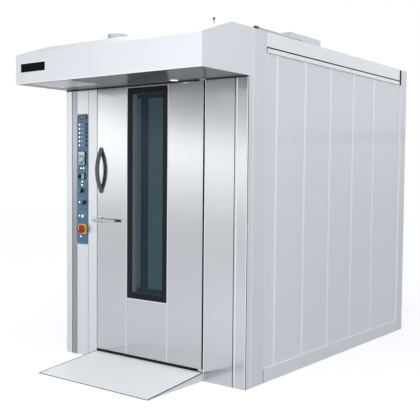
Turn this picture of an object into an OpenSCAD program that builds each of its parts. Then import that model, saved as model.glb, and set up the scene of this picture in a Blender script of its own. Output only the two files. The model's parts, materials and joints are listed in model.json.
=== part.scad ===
// Rotating rack oven: an insulated cabinet with a steam hood, one swinging door with a window,
// a driven turntable for the rack, and a heating unit behind the baking chamber.
// Millimetres. X runs to the right, Y to the rear, Z up. The origin is on the floor at the
// middle of the plan. Modules are drawn with Y = 0 on the front face and moved by in_place().

/* [Front widths] */
// Left corner strip
corner_l_w = 50; // [40:1:70]
// Strip between the left corner and the control column
strip_l_w = 70; // [50:1:100]
// Control column
control_w = 125; // [115:1:150]
// Strip between the control column and the door
strip_r_w = 95; // [70:1:120]
// Gap beside the latch edge of the door
latch_gap = 5; // [4:0.5:8]
// Door leaf width
door_w = 1025; // [950:5:1100]
// Gap beside the hinge edge of the door
hinge_gap = 15; // [12:0.5:20]
// Right jamb sheet
jamb_r_w = 260; // [220:5:300]
// Right corner strip
corner_r_w = 95; // [80:1:110]

/* [Side widths] */
// Depth of the front corner flange
flange_d = 62; // [50:1:80]
// Side post panel behind the flange
post_panel_d = 159; // [140:1:180]
// Narrow side panel
narrow_panel_d = 144; // [120:1:170]
// Full side panel
panel_d = 387.5; // [360:0.5:410]
// Number of full side panels
panel_count = 4; // [3:1:5]
// Last side panel
last_panel_d = 515; // [480:5:560]
// Gap before the rear post
rear_gap = 41; // [30:1:50]
// Rear corner post
rear_post_d = 119; // [100:1:140]

/* [Heights] */
// Cabinet height
cab_h = 2400; // [2300:5:2500]
// Plinth height
plinth_h = 100; // [90:1:120]
// Top fascia height
fascia_h = 100; // [80:1:120]
// Light trim under the fascia
trim_h = 38; // [30:1:45]
// Hood height
hood_h = 315; // [290:1:340]
// Gap between the door and the hood
head_gap = 10; // [8:0.5:14]
// Threshold height
sill_h = 60; // [55:1:66]
// Gap under the door
door_gap = 20; // [18:0.5:26]

/* [Sheets and insulation] */
// Outer sheet
sheet_t = 3; // [2:0.5:4]
// Posts, plinth and fascia plate
plate_t = 4; // [3:0.5:5]
// How far the side panels lie behind the posts
panel_recess = 8; // [7.5:0.5:12]
// Cover strip width at the panel joints
strip_w = 26; // [18:1:32]
// Insulation thickness
ins_t = 96; // [80:1:105]
// Clearance of a seated piece
seat = 0.3; // [0.2:0.05:0.5]

/* [Base and floor] */
// Height of the base rails
base_h = 44; // [42:1:48]
// Width of a base rail
rail_w = 60; // [50:1:70]
// Thickness of the floor plate
floor_t = 6; // [5:0.5:8]

/* [Baking chamber] */
// How far the chamber is wider than the door on each side
chamber_over = 65; // [60:1:80]
// Depth of the door frame section
frame_d = 40; // [35:1:50]
// How far the door overlaps its frame
door_overlap = 60; // [50:1:70]
// Air space over the chamber ceiling
plenum_h = 80; // [70:1:90]
// Depth of the heating zone
heat_zone_d = 725; // [700:5:760]
// Depth of the machine compartment
machine_d = 330; // [320:1:360]

/* [Door leaf] */
// Door thickness without its gasket
door_t = 70; // [64:1:80]
// Gasket thickness
gasket_t = 12; // [10:0.5:14]
// Gasket width
gasket_w = 26; // [20:1:30]
// Width of the left sheet
left_sheet_w = 315; // [300:1:330]
// Width of the window bay
bay_w = 390; // [360:1:410]
// Height of the sheet under the window
lower_sheet_h = 427; // [380:1:480]
// Sheet left above the window
upper_sheet_h = 10; // [8:0.5:16]
// Gap at a sheet seam
seam = 2; // [1:0.5:3]
// Window border
border_w = 45; // [35:1:55]
// Glass thickness
glass_t = 6; // [5:0.5:8]

/* [Door hardware] */
// Hinge pin radius
pin_r = 7; // [6:0.5:8]
// Distance of the hinge axis from the door edge
pin_in = 10; // [10:0.5:14]
// Distance of the hinge axis behind the door face
pin_back = 14; // [13:0.5:17]
// Hinge bracket thickness
bracket_t = 12; // [10:0.5:14]
// Radial clearance of a turning pin
run = 0.05; // [0.02:0.01:0.08]
// Distance of the pull handle from the latch edge
handle_in = 42; // [40:1:70]
// Height of the pull handle's middle
handle_z = 1459; // [1350:1:1500]
// Length of the pull handle
handle_l = 340; // [300:1:380]
// How far the pull handle stands out
handle_out = 52; // [46:1:85]
// Width of the handle bar
handle_bar_w = 30; // [24:1:36]
// Thickness of the handle bar
handle_bar_t = 16; // [12:1:20]
// Height of the latch lever
latch_z = 1077; // [1000:1:1150]
// Distance of the latch pivot from the door edge
latch_in = 25; // [22:1:30]
// How far the latch pivot stands out
latch_out = 34; // [32:1:38]
// Length of the latch lever, from its pivot
latch_l = 195; // [180:1:260]
// Length of the latch nose, from its pivot
latch_nose = 42; // [40:1:48]

/* [Entry ramp] */
// How far the ramp reaches in front of the cabinet
ramp_reach = 570; // [540:5:650]
// Ramp plate thickness
ramp_t = 5; // [4:0.5:6]

/* [Hood] */
// How far the hood reaches in front of the cabinet
hood_reach = 497; // [450:1:520]
// Height of the hood's front face
hood_face_h = 213; // [190:1:240]
// Distance of the hood's ridge from the cabinet face
hood_ridge = 203; // [180:1:230]
// Width of the steam grille
grille_w = 400; // [350:5:430]
// Depth of the steam grille
grille_d = 300; // [260:5:320]
// Distance of the grille from the left edge
grille_x = 140; // [120:5:160]
// Grille slats
grille_slats = 12; // [8:1:16]
// Radius of the hood lamp
hood_lamp_r = 28; // [22:1:34]

/* [Roof outlets] */
// Outer radius of the steam collar
collar_r = 75; // [70:0.5:80]
// Height of the steam collar
collar_h = 60; // [50:1:70]
// Wall of the steam collar
collar_t = 3; // [2:0.5:4]
// Distance of the collar from the left edge
collar_x = 580; // [540:2:660]
// Distance of the collar's axis before the cabinet face
collar_y = 20; // [20:1:60]
// Height of the supply gland
gland_h = 65; // [50:1:70]
// Width of the flue box
flue_w = 240; // [200:5:260]
// Depth of the flue box
flue_d = 440; // [400:5:460]
// Height of the flue box
flue_h = 75; // [65:1:90]
// Bore radius of the flue outlet
flue_bore_r = 76; // [70:0.5:80]
// Radius of the flue pipe
flue_pipe_r = 50; // [44:1:54]
// Radius of the roof conduit
conduit_r = 14; // [12:0.5:16]

/* [Control panel] */
// Distance of the control panel's top edge below the hood
control_drop = 190; // [165:1:240]
// Control panel length
control_l = 1015; // [980:1:1050]
// Distance between two keys
key_pitch = 32.2; // [26:0.1:36]
// Key travel
key_travel = 1.5; // [1:0.1:2.5]
// Key width and height
key_size = 19; // [12:0.5:22]
// Knob radius
knob_r = 17; // [14:0.5:20]
// Spindle radius
spindle_r = 3; // [2.5:0.5:4]
// Main switch knob radius
switch_r = 31; // [26:0.5:33]
// Indicator lamp radius
lamp_r = 6.5; // [4:0.5:8]

/* [Turntable] */
// Gap between the turntable and the chamber walls
table_gap = 38; // [30:1:50]
// Turntable plate thickness
table_t = 8; // [6:0.5:10]
// Height of the rack guide rails
guide_h = 25; // [18:1:30]
// Clear width between the guide rails
guide_gap = 560; // [450:5:600]
// Turntable shaft radius
shaft_r = 20; // [16:0.5:24]
// Teeth of the turntable sprocket
driven_teeth = 60; // [48:4:64]
// Teeth of the drive sprocket
drive_teeth = 20; // [16:4:24]
// Chain pitch
chain_pitch = 15.875; // [12.7,15.875]
// Chain band thickness
chain_t = 8; // [6:0.5:10]

/* [Heating unit] */
// Combustion drum radius
drum_r = 230; // [200:5:250]
// Height of the drum's axis
drum_z = 560; // [530:5:600]
// Heat exchanger tube radius
tube_r = 28; // [22:1:32]
// Tubes in a row
tube_cols = 6; // [4:1:7]
// Rows of tubes
tube_rows = 3; // [2:1:4]
// Circulation fan radius
fan_r = 250; // [220:5:265]
// Circulation fan width
fan_w = 90; // [70:5:100]
// Fan blades
fan_blades = 12; // [8:1:16]
// Fan motor radius
motor_r = 105; // [80:1:120]
// Trays of the steam generator
steam_trays = 10; // [6:1:12]

/* [Hidden] */
$fn = 64;

// Plan of the cabinet
cab_w = corner_l_w + strip_l_w + control_w + strip_r_w + latch_gap + door_w + hinge_gap
    + jamb_r_w + corner_r_w;
half_w = cab_w / 2;
panels_y0 = flange_d + post_panel_d;
panels_y1 = panels_y0 + narrow_panel_d + panel_count * panel_d + last_panel_d;
rear_post_y = panels_y1 + rear_gap;
cab_d = rear_post_y + rear_post_d;
front_y = (ramp_reach - cab_d) / 2;

// Columns of the front
corner_l_x = corner_l_w - half_w;
control_x0 = corner_l_x + strip_l_w;
control_x1 = control_x0 + control_w;
jamb_l_x = control_x1 + strip_r_w;
door_x0 = jamb_l_x + latch_gap;
door_x1 = door_x0 + door_w;
door_mid = (door_x0 + door_x1) / 2;
jamb_r_x = door_x1 + hinge_gap;
corner_r_x = jamb_r_x + jamb_r_w;

// Heights
hood_z = cab_h - hood_h;
door_z0 = sill_h + door_gap;
door_z1 = hood_z - head_gap;
fascia_z = cab_h - fascia_h;
floor_top = base_h + floor_t;
ceiling_z = door_z1 - 25;
liner_z = ceiling_z + plenum_h;
roof_z = cab_h - sheet_t;

// Hinge shims and brackets
shim_t = 2;
bracket_in = 22;
bracket_d = 44;

// Depths
frame_y = door_t + gasket_t + seat;
head_y = max(flange_d, bracket_d) + seat;
chamber_y0 = frame_y + frame_d;
wall_y = cab_d - plate_t;
machine_y = wall_y - machine_d;
hot_y1 = machine_y - ins_t - 2 * sheet_t;
chamber_y1 = hot_y1 - heat_zone_d;
chamber_x0 = door_x0 - chamber_over;
chamber_x1 = door_x1 + chamber_over;
panel_x = half_w - panel_recess;
liner_x = panel_x - sheet_t - ins_t;

// Door
opening_x0 = door_x0 + door_overlap;
opening_x1 = door_x1 - door_overlap;
opening_z1 = door_z1 - door_overlap;
stile_out = 34;
column_seam = 0.8;
bay_x0 = door_x0 + left_sheet_w;
bay_x1 = bay_x0 + bay_w;
window_z0 = door_z0 + lower_sheet_h + seam;
window_z1 = door_z1 - upper_sheet_h;
hinge_x = door_x1 - pin_in;
low_bracket_z = door_z0 - shim_t - seat - bracket_t;

// Turntable and its drive
table_x = door_mid;
table_y = (chamber_y0 + chamber_y1) / 2;
table_r = min(chamber_x1 - chamber_x0, chamber_y1 - chamber_y0) / 2 - table_gap;
table_z = floor_top + 4;
driven_r = driven_teeth * chain_pitch / (2 * PI);
drive_r = drive_teeth * chain_pitch / (2 * PI);
drive_y = machine_y + machine_d / 2;
sprocket_z = 26;
sprocket_t = 8;
drive_shaft_r = 12.5;

// Heating unit
fan_z = liner_z - fan_r - 50;
fan_y = hot_y1 - 200;
header_h = 70;
low_header_z = drum_z + drum_r + 60;
high_header_z = fan_z - fan_r - 60 - header_h;
port_r = 90;
drum_y0 = chamber_y1 + 80;
drum_y1 = hot_y1 - 12;
header_y0 = drum_y0 + 60;
header_y1 = hot_y1 - 300;
riser_x = chamber_x1 - 140;
riser_y = header_y1 - 80;
flue_x = half_w - 70 - flue_w / 2;
flue_y = panels_y0 + 640;
flue_run_z = liner_z + ins_t + 2 * sheet_t + flue_pipe_r + 12;

// Fittings of the hood
collar_lip = 6;
gland_x = half_w - 210;
gland_y = -100;
gland_bore_r = 4.5;
gland_wall = 1.5;
gland_head_h = 14;
hood_lamp_x = half_w * 0.33;
hood_lamp_y = -60;

// Control panel
control_z1 = hood_z - control_drop;
control_z0 = control_z1 - control_l;
control_face = -sheet_t;
lamp_x = control_x0 + 30;
dial_x = (control_x0 + control_x1) / 2;
switch_x = dial_x + 10;
key_x = control_x1 - 20;
key_top = control_z1 - 81;
timer_z = control_z1 - 353;
fan_knob_z = control_z1 - 484;
light_knob_z = control_z1 - 594;
steam_knob_z = control_z0 + 328;
key_switch_z = control_z0 + 222;
switch_z = control_z0 + 120;
knob_out = 24;
module_out = 12;
meter_out = 11;
switch_out = 13;
switch_knob_out = 36;
knob_shift = 24;

// Moves a piece from the frame of the front face to the frame of the part
module in_place() {
    translate([0, front_y, 0]) children();
}

// A block between two corners
module block(lo, hi) {
    translate(lo) cube(hi - lo);
}

// Round bars along the three axes, from a starting point
module bar_x(at, r, l) {
    translate(at) rotate([0, 90, 0]) cylinder(r = r, h = l);
}
module bar_y(at, r, l) {
    translate(at) rotate([-90, 0, 0]) cylinder(r = r, h = l);
}
module bar_z(at, r, l) {
    translate(at) cylinder(r = r, h = l);
}

// A piece and its mirror image on the other side of the cabinet
module both_sides() {
    children();
    mirror([1, 0, 0]) children();
}

// A box section with walls of thickness t, open at both ends along one axis (0, 1 or 2)
module box_section(lo, hi, t, axis) {
    wall = [for (i = [0 : 2]) i == axis ? -1 : t];
    difference() {
        block(lo, hi);
        block(lo + wall, hi - wall);
    }
}

// An upright rectangular ring in the XZ plane, with a border of width b
module ring(lo, hi, b) {
    difference() {
        block(lo, hi);
        block([lo.x + b, lo.y - 1, lo.z + b], [hi.x - b, hi.y + 1, hi.z - b]);
    }
}

// ---- Base, floor and plinth ----

// Rails on the ground, with a bar under the turntable bearing
module base_frame() {
    rail_x = panel_x - 2;
    rail_y0 = plate_t + 4;
    rail_y1 = wall_y - 6;
    chain_gap = 6;
    inner_x = driven_r + chain_t + rail_w / 2 + chain_gap;
    inner_y0 = chamber_y0 + rail_w + seat;
    inner_y1 = rail_y1 - rail_w - seat;
    color("dimgray") in_place() {
        both_sides() block([rail_x - rail_w, rail_y0, 0], [rail_x, rail_y1, base_h]);
        for (y = [chamber_y0, rail_y1 - rail_w])
            block([rail_w + seat - rail_x, y, 0], [rail_x - rail_w - seat, y + rail_w, base_h]);
        for (x = [table_x - inner_x - rail_w / 2, table_x + inner_x - rail_w / 2])
            block([x, inner_y0, 0], [x + rail_w, inner_y1, base_h]);
        block([table_x - inner_x + rail_w / 2 + seat, table_y - 70, 0],
            [table_x + inner_x - rail_w / 2 - seat, table_y + 70, 6]);
    }
}

// Folded plate round the foot of the cabinet
module plinth() {
    y0 = panels_y0 + seat;
    y1 = rear_post_y - seat;
    color("silver") in_place() {
        both_sides() union() {
            block([half_w - plate_t, y0, 0], [half_w, y1, plinth_h]);
            block([panel_x + seat, y0, plinth_h - 6], [half_w, y1, plinth_h]);
        }
        block([rear_post_d + seat - half_w, wall_y, 0],
            [half_w - rear_post_d - seat, cab_d, plinth_h]);
    }
}

// Floor plate of the chamber and the machine compartment
module chamber_floor() {
    edge_x = panel_x - rail_w / 2;
    color("gray") in_place() difference() {
        block([-edge_x, chamber_y0, base_h], [edge_x, wall_y - 20, floor_top]);
        bar_z([table_x, table_y, base_h - 1], shaft_r + 8, floor_t + 2);
        bar_z([table_x, drive_y, base_h - 1], drive_shaft_r + 6, floor_t + 2);
    }
}

// ---- Baking chamber and insulation ----

// Upright air slots across a wall
module air_slots(count, pitch, size) {
    for (i = [0 : count - 1]) translate([0, i * pitch, 0]) cube(size);
}

// Slotted duct walls, rear wall and ceiling of the baking chamber
module chamber_liner() {
    slot_h = ceiling_z - floor_top - 400;
    slot_count = floor((chamber_y1 - chamber_y0 - 200) / 130);
    color("lightgray") in_place() {
        for (x = [chamber_x0 - sheet_t, chamber_x1]) difference() {
            block([x, chamber_y0 + seat, floor_top], [x + sheet_t, chamber_y1 - seat, ceiling_z]);
            translate([x - 1, chamber_y0 + 140, floor_top + 200])
                air_slots(slot_count, 130, [sheet_t + 2, 14, slot_h]);
        }
        difference() {
            block([chamber_x0, chamber_y1, floor_top],
                [chamber_x1, chamber_y1 + sheet_t, ceiling_z]);
            for (z = [floor_top + 300 : 160 : ceiling_z - 300])
                block([table_x - 300, chamber_y1 - 1, z], [table_x + 300, chamber_y1 + 5, z + 24]);
        }
        block([chamber_x0 - sheet_t, chamber_y0 + seat, ceiling_z + seat],
            [chamber_x1 + sheet_t, chamber_y1 + sheet_t, ceiling_z + seat + sheet_t]);
    }
}

// Ports through the rear walls of the heating zone: burner tube and fan shaft
module rear_ports(grow) {
    bar_y([table_x, hot_y1 - 20, drum_z], port_r + grow, ins_t + 60);
    bar_y([table_x, hot_y1 - 20, fan_z], 20 + grow, ins_t + 60);
}

// Sheets that enclose the air ducts and the heating zone
module hot_zone_liner() {
    plate_y = fan_y - 40;
    color("darkgray") in_place() {
        both_sides() block([liner_x - sheet_t, chamber_y0, floor_top],
            [liner_x, hot_y1 - seat, liner_z]);
        for (x = [[seat + sheet_t - liner_x, chamber_x0 - stile_out],
            [chamber_x1 + stile_out, liner_x - sheet_t - seat]])
            block([x[0], chamber_y0, floor_top], [x[1], chamber_y0 + sheet_t, liner_z]);
        difference() {
            block([-liner_x, chamber_y0, liner_z + seat], [liner_x, hot_y1, liner_z + seat + sheet_t]);
            bar_z([riser_x, riser_y, liner_z - 5], flue_pipe_r + 2, 20);
        }
        difference() {
            union() {
                block([-liner_x, hot_y1, floor_top], [liner_x, hot_y1 + sheet_t, liner_z + sheet_t]);
                block([-liner_x, machine_y - sheet_t, floor_top],
                    [liner_x, machine_y, liner_z + sheet_t]);
            }
            rear_ports(2);
        }
        difference() {
            block([sheet_t + seat - liner_x, plate_y, high_header_z + header_h + 20],
                [liner_x - sheet_t - seat, plate_y + sheet_t, liner_z]);
            bar_y([table_x, plate_y - 1, fan_z], fan_r * 0.7, 10);
        }
    }
}

// Mineral wool behind every wall of the hot zone
module insulation() {
    y0 = chamber_y0;
    y1 = machine_y - sheet_t;
    roof_ins_z = liner_z + 2 * seat + sheet_t;
    front_y0 = chamber_y0 - frame_d + 2;
    color("khaki") in_place() {
        both_sides() block([liner_x + seat, y0, floor_top + seat],
            [panel_x - sheet_t - seat, y1, liner_z]);
        difference() {
            block([-liner_x, y0, roof_ins_z], [liner_x, y1, roof_ins_z + ins_t]);
            bar_z([riser_x, riser_y, liner_z - 5], flue_pipe_r + 2, ins_t + 40);
        }
        difference() {
            block([-liner_x, hot_y1 + sheet_t + seat, floor_top + seat],
                [liner_x, machine_y - sheet_t - seat, liner_z]);
            rear_ports(2);
        }
        for (x = [[-liner_x, chamber_x0 - stile_out - seat], [chamber_x1 + stile_out + seat, liner_x]])
            block([x[0], front_y0, floor_top + seat], [x[1], chamber_y0 - seat, liner_z]);
    }
}

// ---- Outer shell ----

// An L section upright, with legs a along X and b along Y, filling towards +X and +Y
module angle_post(a, b, z0, z1) {
    translate([0, 0, z0]) linear_extrude(z1 - z0)
        polygon([[0, 0], [a, 0], [a, plate_t], [plate_t, plate_t], [plate_t, b], [0, b]]);
}

// Corner posts, side post panels, top fascias and their light trims
module outer_frame() {
    trim_z = fascia_z - trim_h;
    color("whitesmoke") in_place() {
        translate([-half_w, 0, 0]) angle_post(corner_l_w, flange_d, 0, hood_z);
        translate([half_w, 0, 0]) mirror([1, 0, 0]) angle_post(corner_r_w, flange_d, 0, hood_z);
        for (m = [0, 1]) mirror([m, 0, 0])
            translate([-half_w, cab_d, 0]) mirror([0, 1, 0])
            angle_post(rear_post_d, rear_post_d, 0, cab_h);
        both_sides() union() {
            block([half_w - plate_t, flange_d + seat, 0], [half_w, panels_y0, cab_h]);
            block([half_w - plate_t, panels_y0, fascia_z], [half_w, panels_y1, cab_h]);
            block([half_w - plate_t, panels_y0, trim_z], [half_w - 1, panels_y1, fascia_z]);
        }
        block([rear_post_d + seat - half_w, wall_y, fascia_z],
            [half_w - rear_post_d - seat, cab_d, cab_h]);
    }
}

// Lapped side panels with a cover strip over each joint
module side_panels() {
    y0 = chamber_y0 - 20;
    joints = [for (i = [0 : panel_count]) panels_y0 + narrow_panel_d + i * panel_d];
    edges = concat([y0], joints, [rear_post_y - seat]);
    z0 = base_h + 10;
    z1 = fascia_z + 20;
    color("lightsteelblue") in_place() both_sides() {
        for (i = [0 : len(edges) - 2])
            block([panel_x - sheet_t, edges[i] + 1, z0], [panel_x, edges[i + 1] - 1, z1]);
        for (y = joints)
            block([panel_x, y - strip_w / 2, plinth_h + 1],
                [panel_x + 3, y + strip_w / 2, fascia_z - trim_h]);
    }
}

// Roof sheet between the fascias, with the hole for the flue
module roof_panel() {
    edge_x = half_w - plate_t - seat;
    color("gainsboro") in_place() difference() {
        block([-edge_x, flange_d + seat, roof_z - sheet_t], [edge_x, wall_y - seat, roof_z]);
        bar_z([flue_x, flue_y, roof_z - 10], flue_pipe_r + 2, 20);
    }
}

// Rear panels; the middle one has louvres for the burner's air
module rear_panels() {
    post_lap = 20;
    rail_lap = 10;
    edge_x = half_w - rear_post_d + post_lap;
    third = 2 * edge_x / 3;
    louvre_w = third - 160;
    color("lightsteelblue") in_place() {
        for (i = [0 : 2]) difference() {
            block([-edge_x + i * third + 1, wall_y - sheet_t, plinth_h - rail_lap],
                [-edge_x + (i + 1) * third - 1, wall_y, fascia_z + rail_lap]);
            if (i == 1) for (j = [0 : 9], z = [plinth_h + 200 + j * 60, fascia_z - 800 + j * 60])
                block([-louvre_w / 2, wall_y - 10, z], [louvre_w / 2, wall_y + 5, z + 12]);
        }
        for (x = [-third / 2, third / 2])
            block([x - 12, wall_y, plinth_h + 2], [x + 12, wall_y + 2, fascia_z - 2]);
    }
}

// Sheets of the front between the corner posts and the door, and the panel over the door
module front_columns() {
    gap = column_seam / 2;
    cut = 6;
    color("gainsboro") in_place() {
        block([corner_l_x + column_seam, 0, 0], [control_x0 - gap, sheet_t, hood_z]);
        difference() {
            block([control_x0 + gap, 0, 0], [control_x1 - gap, sheet_t, hood_z]);
            block([control_x0 + cut, -1, control_z0 + cut],
                [control_x1 - cut, sheet_t + 1, control_z1 - cut]);
        }
        union() {
            block([control_x1 + gap, 0, 0], [jamb_l_x, sheet_t, hood_z]);
            block([jamb_l_x - sheet_t, 0, 0], [jamb_l_x, frame_y - seat, hood_z - seat]);
        }
        union() {
            block([jamb_r_x, 0, 0], [corner_r_x - column_seam, sheet_t, hood_z]);
            block([jamb_r_x, 0, 0], [jamb_r_x + sheet_t, frame_y - seat, hood_z - seat]);
        }
        block([-half_w + plate_t + seat, head_y, hood_z],
            [half_w - plate_t - seat, head_y + sheet_t, roof_z - sheet_t - seat]);
    }
}

// Stiles, head and threshold that the door closes on
module door_frame() {
    color("silver") in_place() {
        for (x = [[chamber_x0 - stile_out, opening_x0], [opening_x1, chamber_x1 + stile_out]])
            box_section([x[0], frame_y, floor_top + seat], [x[1], chamber_y0, liner_z], sheet_t, 2);
        box_section([opening_x0 + seat, frame_y, opening_z1],
            [opening_x1 - seat, chamber_y0, liner_z], sheet_t, 0);
        box_section([jamb_l_x + seat, 0, 0], [jamb_r_x - seat, frame_y - seat, sill_h], sheet_t, 0);
        block([opening_x0 + seat, frame_y, 0], [opening_x1 - seat, chamber_y0 - seat, sill_h]);
    }
}

// Bearing blocks for the two hinge pins
module hinge_brackets() {
    x0 = hinge_x - bracket_in;
    z0 = door_z1 + shim_t + 1;
    color("silver") in_place() difference() {
        union() {
            block([x0, 1, low_bracket_z], [jamb_r_x, bracket_d, low_bracket_z + bracket_t]);
            block([x0, 1, z0], [jamb_r_x, bracket_d, z0 + bracket_t]);
        }
        bar_z([hinge_x, pin_back, 0], pin_r + run, cab_h);
    }
}

// Loading ramp with two side cheeks
module entry_ramp() {
    x0 = jamb_l_x;
    x1 = jamb_r_x - 4;
    back = -0.5;
    color("lightgray") in_place() {
        translate([x0, 0, 0]) rotate([90, 0, 90]) linear_extrude(x1 - x0)
            polygon([[-ramp_reach, 0], [-ramp_reach, 3], [back, sill_h - 1], [back, sill_h - 1 - ramp_t],
                [20 - ramp_reach, 0]]);
        for (x = [x0, x1 - plate_t]) translate([x, 0, 0]) rotate([90, 0, 90]) linear_extrude(plate_t)
            polygon([[1 - ramp_reach, 0], [back, sill_h - 2], [back, 0]]);
    }
}

// ---- Hood ----

// Side outline of the hood, shrunk by t on its front, slope and top
module hood_outline(t) {
    slope = (hood_h - hood_face_h) / (hood_reach - hood_ridge);
    drop = t * sqrt(1 + slope * slope);
    face_z = hood_z + hood_face_h;
    ridge_y = -hood_reach + (hood_h - hood_face_h - t + drop) / slope;
    polygon([[t - hood_reach, hood_z - t], [t - hood_reach, face_z + slope * t - drop],
        [ridge_y, cab_h - t], [flange_d + t, cab_h - t], [flange_d + t, hood_z - t]]);
}

// Folded hood shell: front, slope, top and ends
module hood_shell() {
    color("white") in_place() difference() {
        intersection() {
            translate([-half_w, 0, 0]) rotate([90, 0, 90]) linear_extrude(cab_w) hood_outline(0);
            block([-half_w, -hood_reach, hood_z], [half_w, flange_d, cab_h]);
        }
        translate([sheet_t - half_w, 0, 0]) rotate([90, 0, 90])
            linear_extrude(cab_w - 2 * sheet_t) hood_outline(sheet_t);
        bar_z([collar_x - half_w, -collar_y, cab_h - 20], collar_r - collar_t, 40);
        bar_z([gland_x, gland_y, cab_h - 20], gland_bore_r + gland_wall, 40);
    }
}

// Closing sheet under the hood, with a slatted steam grille let into it
module hood_underside() {
    x0 = grille_x - half_w;
    y0 = 27 - hood_reach;
    z0 = hood_z;
    slat = grille_d / grille_slats;
    edge = 16;
    color("gray") in_place() {
        difference() {
            block([sheet_t + seat - half_w, sheet_t + seat - hood_reach, z0],
                [half_w - sheet_t - seat, head_y - seat, z0 + sheet_t]);
            block([hinge_x - bracket_in - 2, -1, z0 - 1], [jamb_r_x + 2, bracket_d + 2, z0 + 10]);
            block([x0, y0, z0 - 1], [x0 + grille_w, y0 + grille_d, z0 + 10]);
            bar_z([hood_lamp_x, hood_lamp_y, z0 - 1], hood_lamp_r + seat, 10);
        }
        difference() {
            block([x0 + seat, y0 + seat, z0 - 1],
                [x0 + grille_w - seat, y0 + grille_d - seat, z0 + 8]);
            for (i = [0 : grille_slats - 1])
                block([x0 + edge, y0 + (i + 0.3) * slat, z0 - 2],
                    [x0 + grille_w - edge, y0 + (i + 0.75) * slat, z0 + 9]);
        }
    }
}

// Round lamp under the hood and upright strip lamp in the chamber
module lamps() {
    lamp_y = chamber_y0 + 0.27 * (chamber_y1 - chamber_y0);
    color("white") in_place() {
        bar_z([hood_lamp_x, hood_lamp_y, hood_z - 3], hood_lamp_r, 30);
        block([chamber_x0, lamp_y, floor_top + 550],
            [chamber_x0 + 24, lamp_y + 34, ceiling_z - 100]);
    }
}

// Spigot of the steam duct on the hood
module exhaust_collar() {
    color("silver") in_place() translate([collar_x - half_w, -collar_y, cab_h]) difference() {
        union() {
            cylinder(r = collar_r, h = collar_h);
            cylinder(r = collar_r + collar_lip, h = collar_t);
        }
        translate([0, 0, -1]) cylinder(r = collar_r - collar_t, h = collar_h + 2);
    }
}

// ---- Control column ----

// Blue front plate with holes for spindles and keys
module control_panel() {
    hole_r = spindle_r + run;
    key_hole = key_size / 2 + 0.4;
    color("steelblue") in_place() difference() {
        block([control_x0 + seam, control_face, control_z0], [control_x1 - seam, 0, control_z1]);
        for (p = [[dial_x - knob_shift, fan_knob_z], [dial_x, light_knob_z],
            [dial_x + knob_shift, steam_knob_z], [dial_x + knob_shift, key_switch_z]])
            bar_y([p[0], -10, p[1]], hole_r, 20);
        for (i = [0 : 5]) translate([key_x, 0, key_top - i * key_pitch])
            block([-key_hole, -10, -key_hole], [key_hole, 10, key_hole]);
    }
}

// Display of the controller, small temperature display and the timer's housing
module control_displays() {
    face = control_face;
    color("black") in_place() {
        block([control_x0 + 28, face - 6, control_z1 - 40], [control_x1 - 16, face, control_z1 - 12]);
        block([dial_x - 3, face - meter_out, fan_knob_z - 24], [dial_x + 31, face, fan_knob_z + 25]);
        difference() {
            block([dial_x - 38, face - module_out, timer_z - 43],
                [dial_x + 38, face, timer_z + 63]);
            bar_y([dial_x, face - module_out - 1, timer_z], spindle_r + run, 12);
        }
    }
}

// Small round signal lamps
module indicator_lamps() {
    rows = [for (i = [0 : 5]) [lamp_x, key_top - i * key_pitch]];
    singles = [[dial_x - 14, fan_knob_z + 63], [dial_x + 14, fan_knob_z + 63],
        [dial_x + 2, fan_knob_z - 40], [dial_x - 4, fan_knob_z - 68], [dial_x - 30, light_knob_z],
        [lamp_x, steam_knob_z], [lamp_x, key_switch_z], [dial_x - 17, switch_z - 60]];
    color("white") in_place() for (p = concat(rows, singles))
        bar_y([p[0], control_face - 3, p[1]], lamp_r, 3);
}

// Yellow housing of the main switch
module main_switch_box() {
    color("gold") in_place() difference() {
        block([switch_x - 37, control_face - switch_out, switch_z - 39],
            [switch_x + 37, control_face, switch_z + 39]);
        bar_y([switch_x, control_face - switch_out - 1, switch_z], spindle_r + run, 12);
    }
}

// Open housing of the switchgear behind the control panel
module electrical_box() {
    t = 1.5;
    lo = [control_x0 + 2, sheet_t + seat, control_z0 - 10];
    hi = [control_x1 - 2, frame_y - frame_d / 2 - 4, control_z1 + 10];
    color("gray") in_place() difference() {
        block(lo, hi);
        block([lo.x + t, lo.y - 1, lo.z + t], [hi.x - t, hi.y - t, hi.z - t]);
    }
}

// ---- Roof ----

// Flue box with a round outlet
module flue_box() {
    lo = [flue_x - flue_w / 2, flue_y - flue_d / 2, roof_z];
    hi = [flue_x + flue_w / 2, flue_y + flue_d / 2, roof_z + flue_h];
    color("silver") in_place() difference() {
        union() {
            difference() {
                block(lo, hi);
                block(lo + [2, 2, -1], hi - [2, 2, 2]);
            }
            bar_z([flue_x, flue_y, hi.z - 40], flue_bore_r + 3, 40);
        }
        bar_z([flue_x, flue_y, lo.z - 1], flue_bore_r, flue_h + 10);
    }
}

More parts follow.
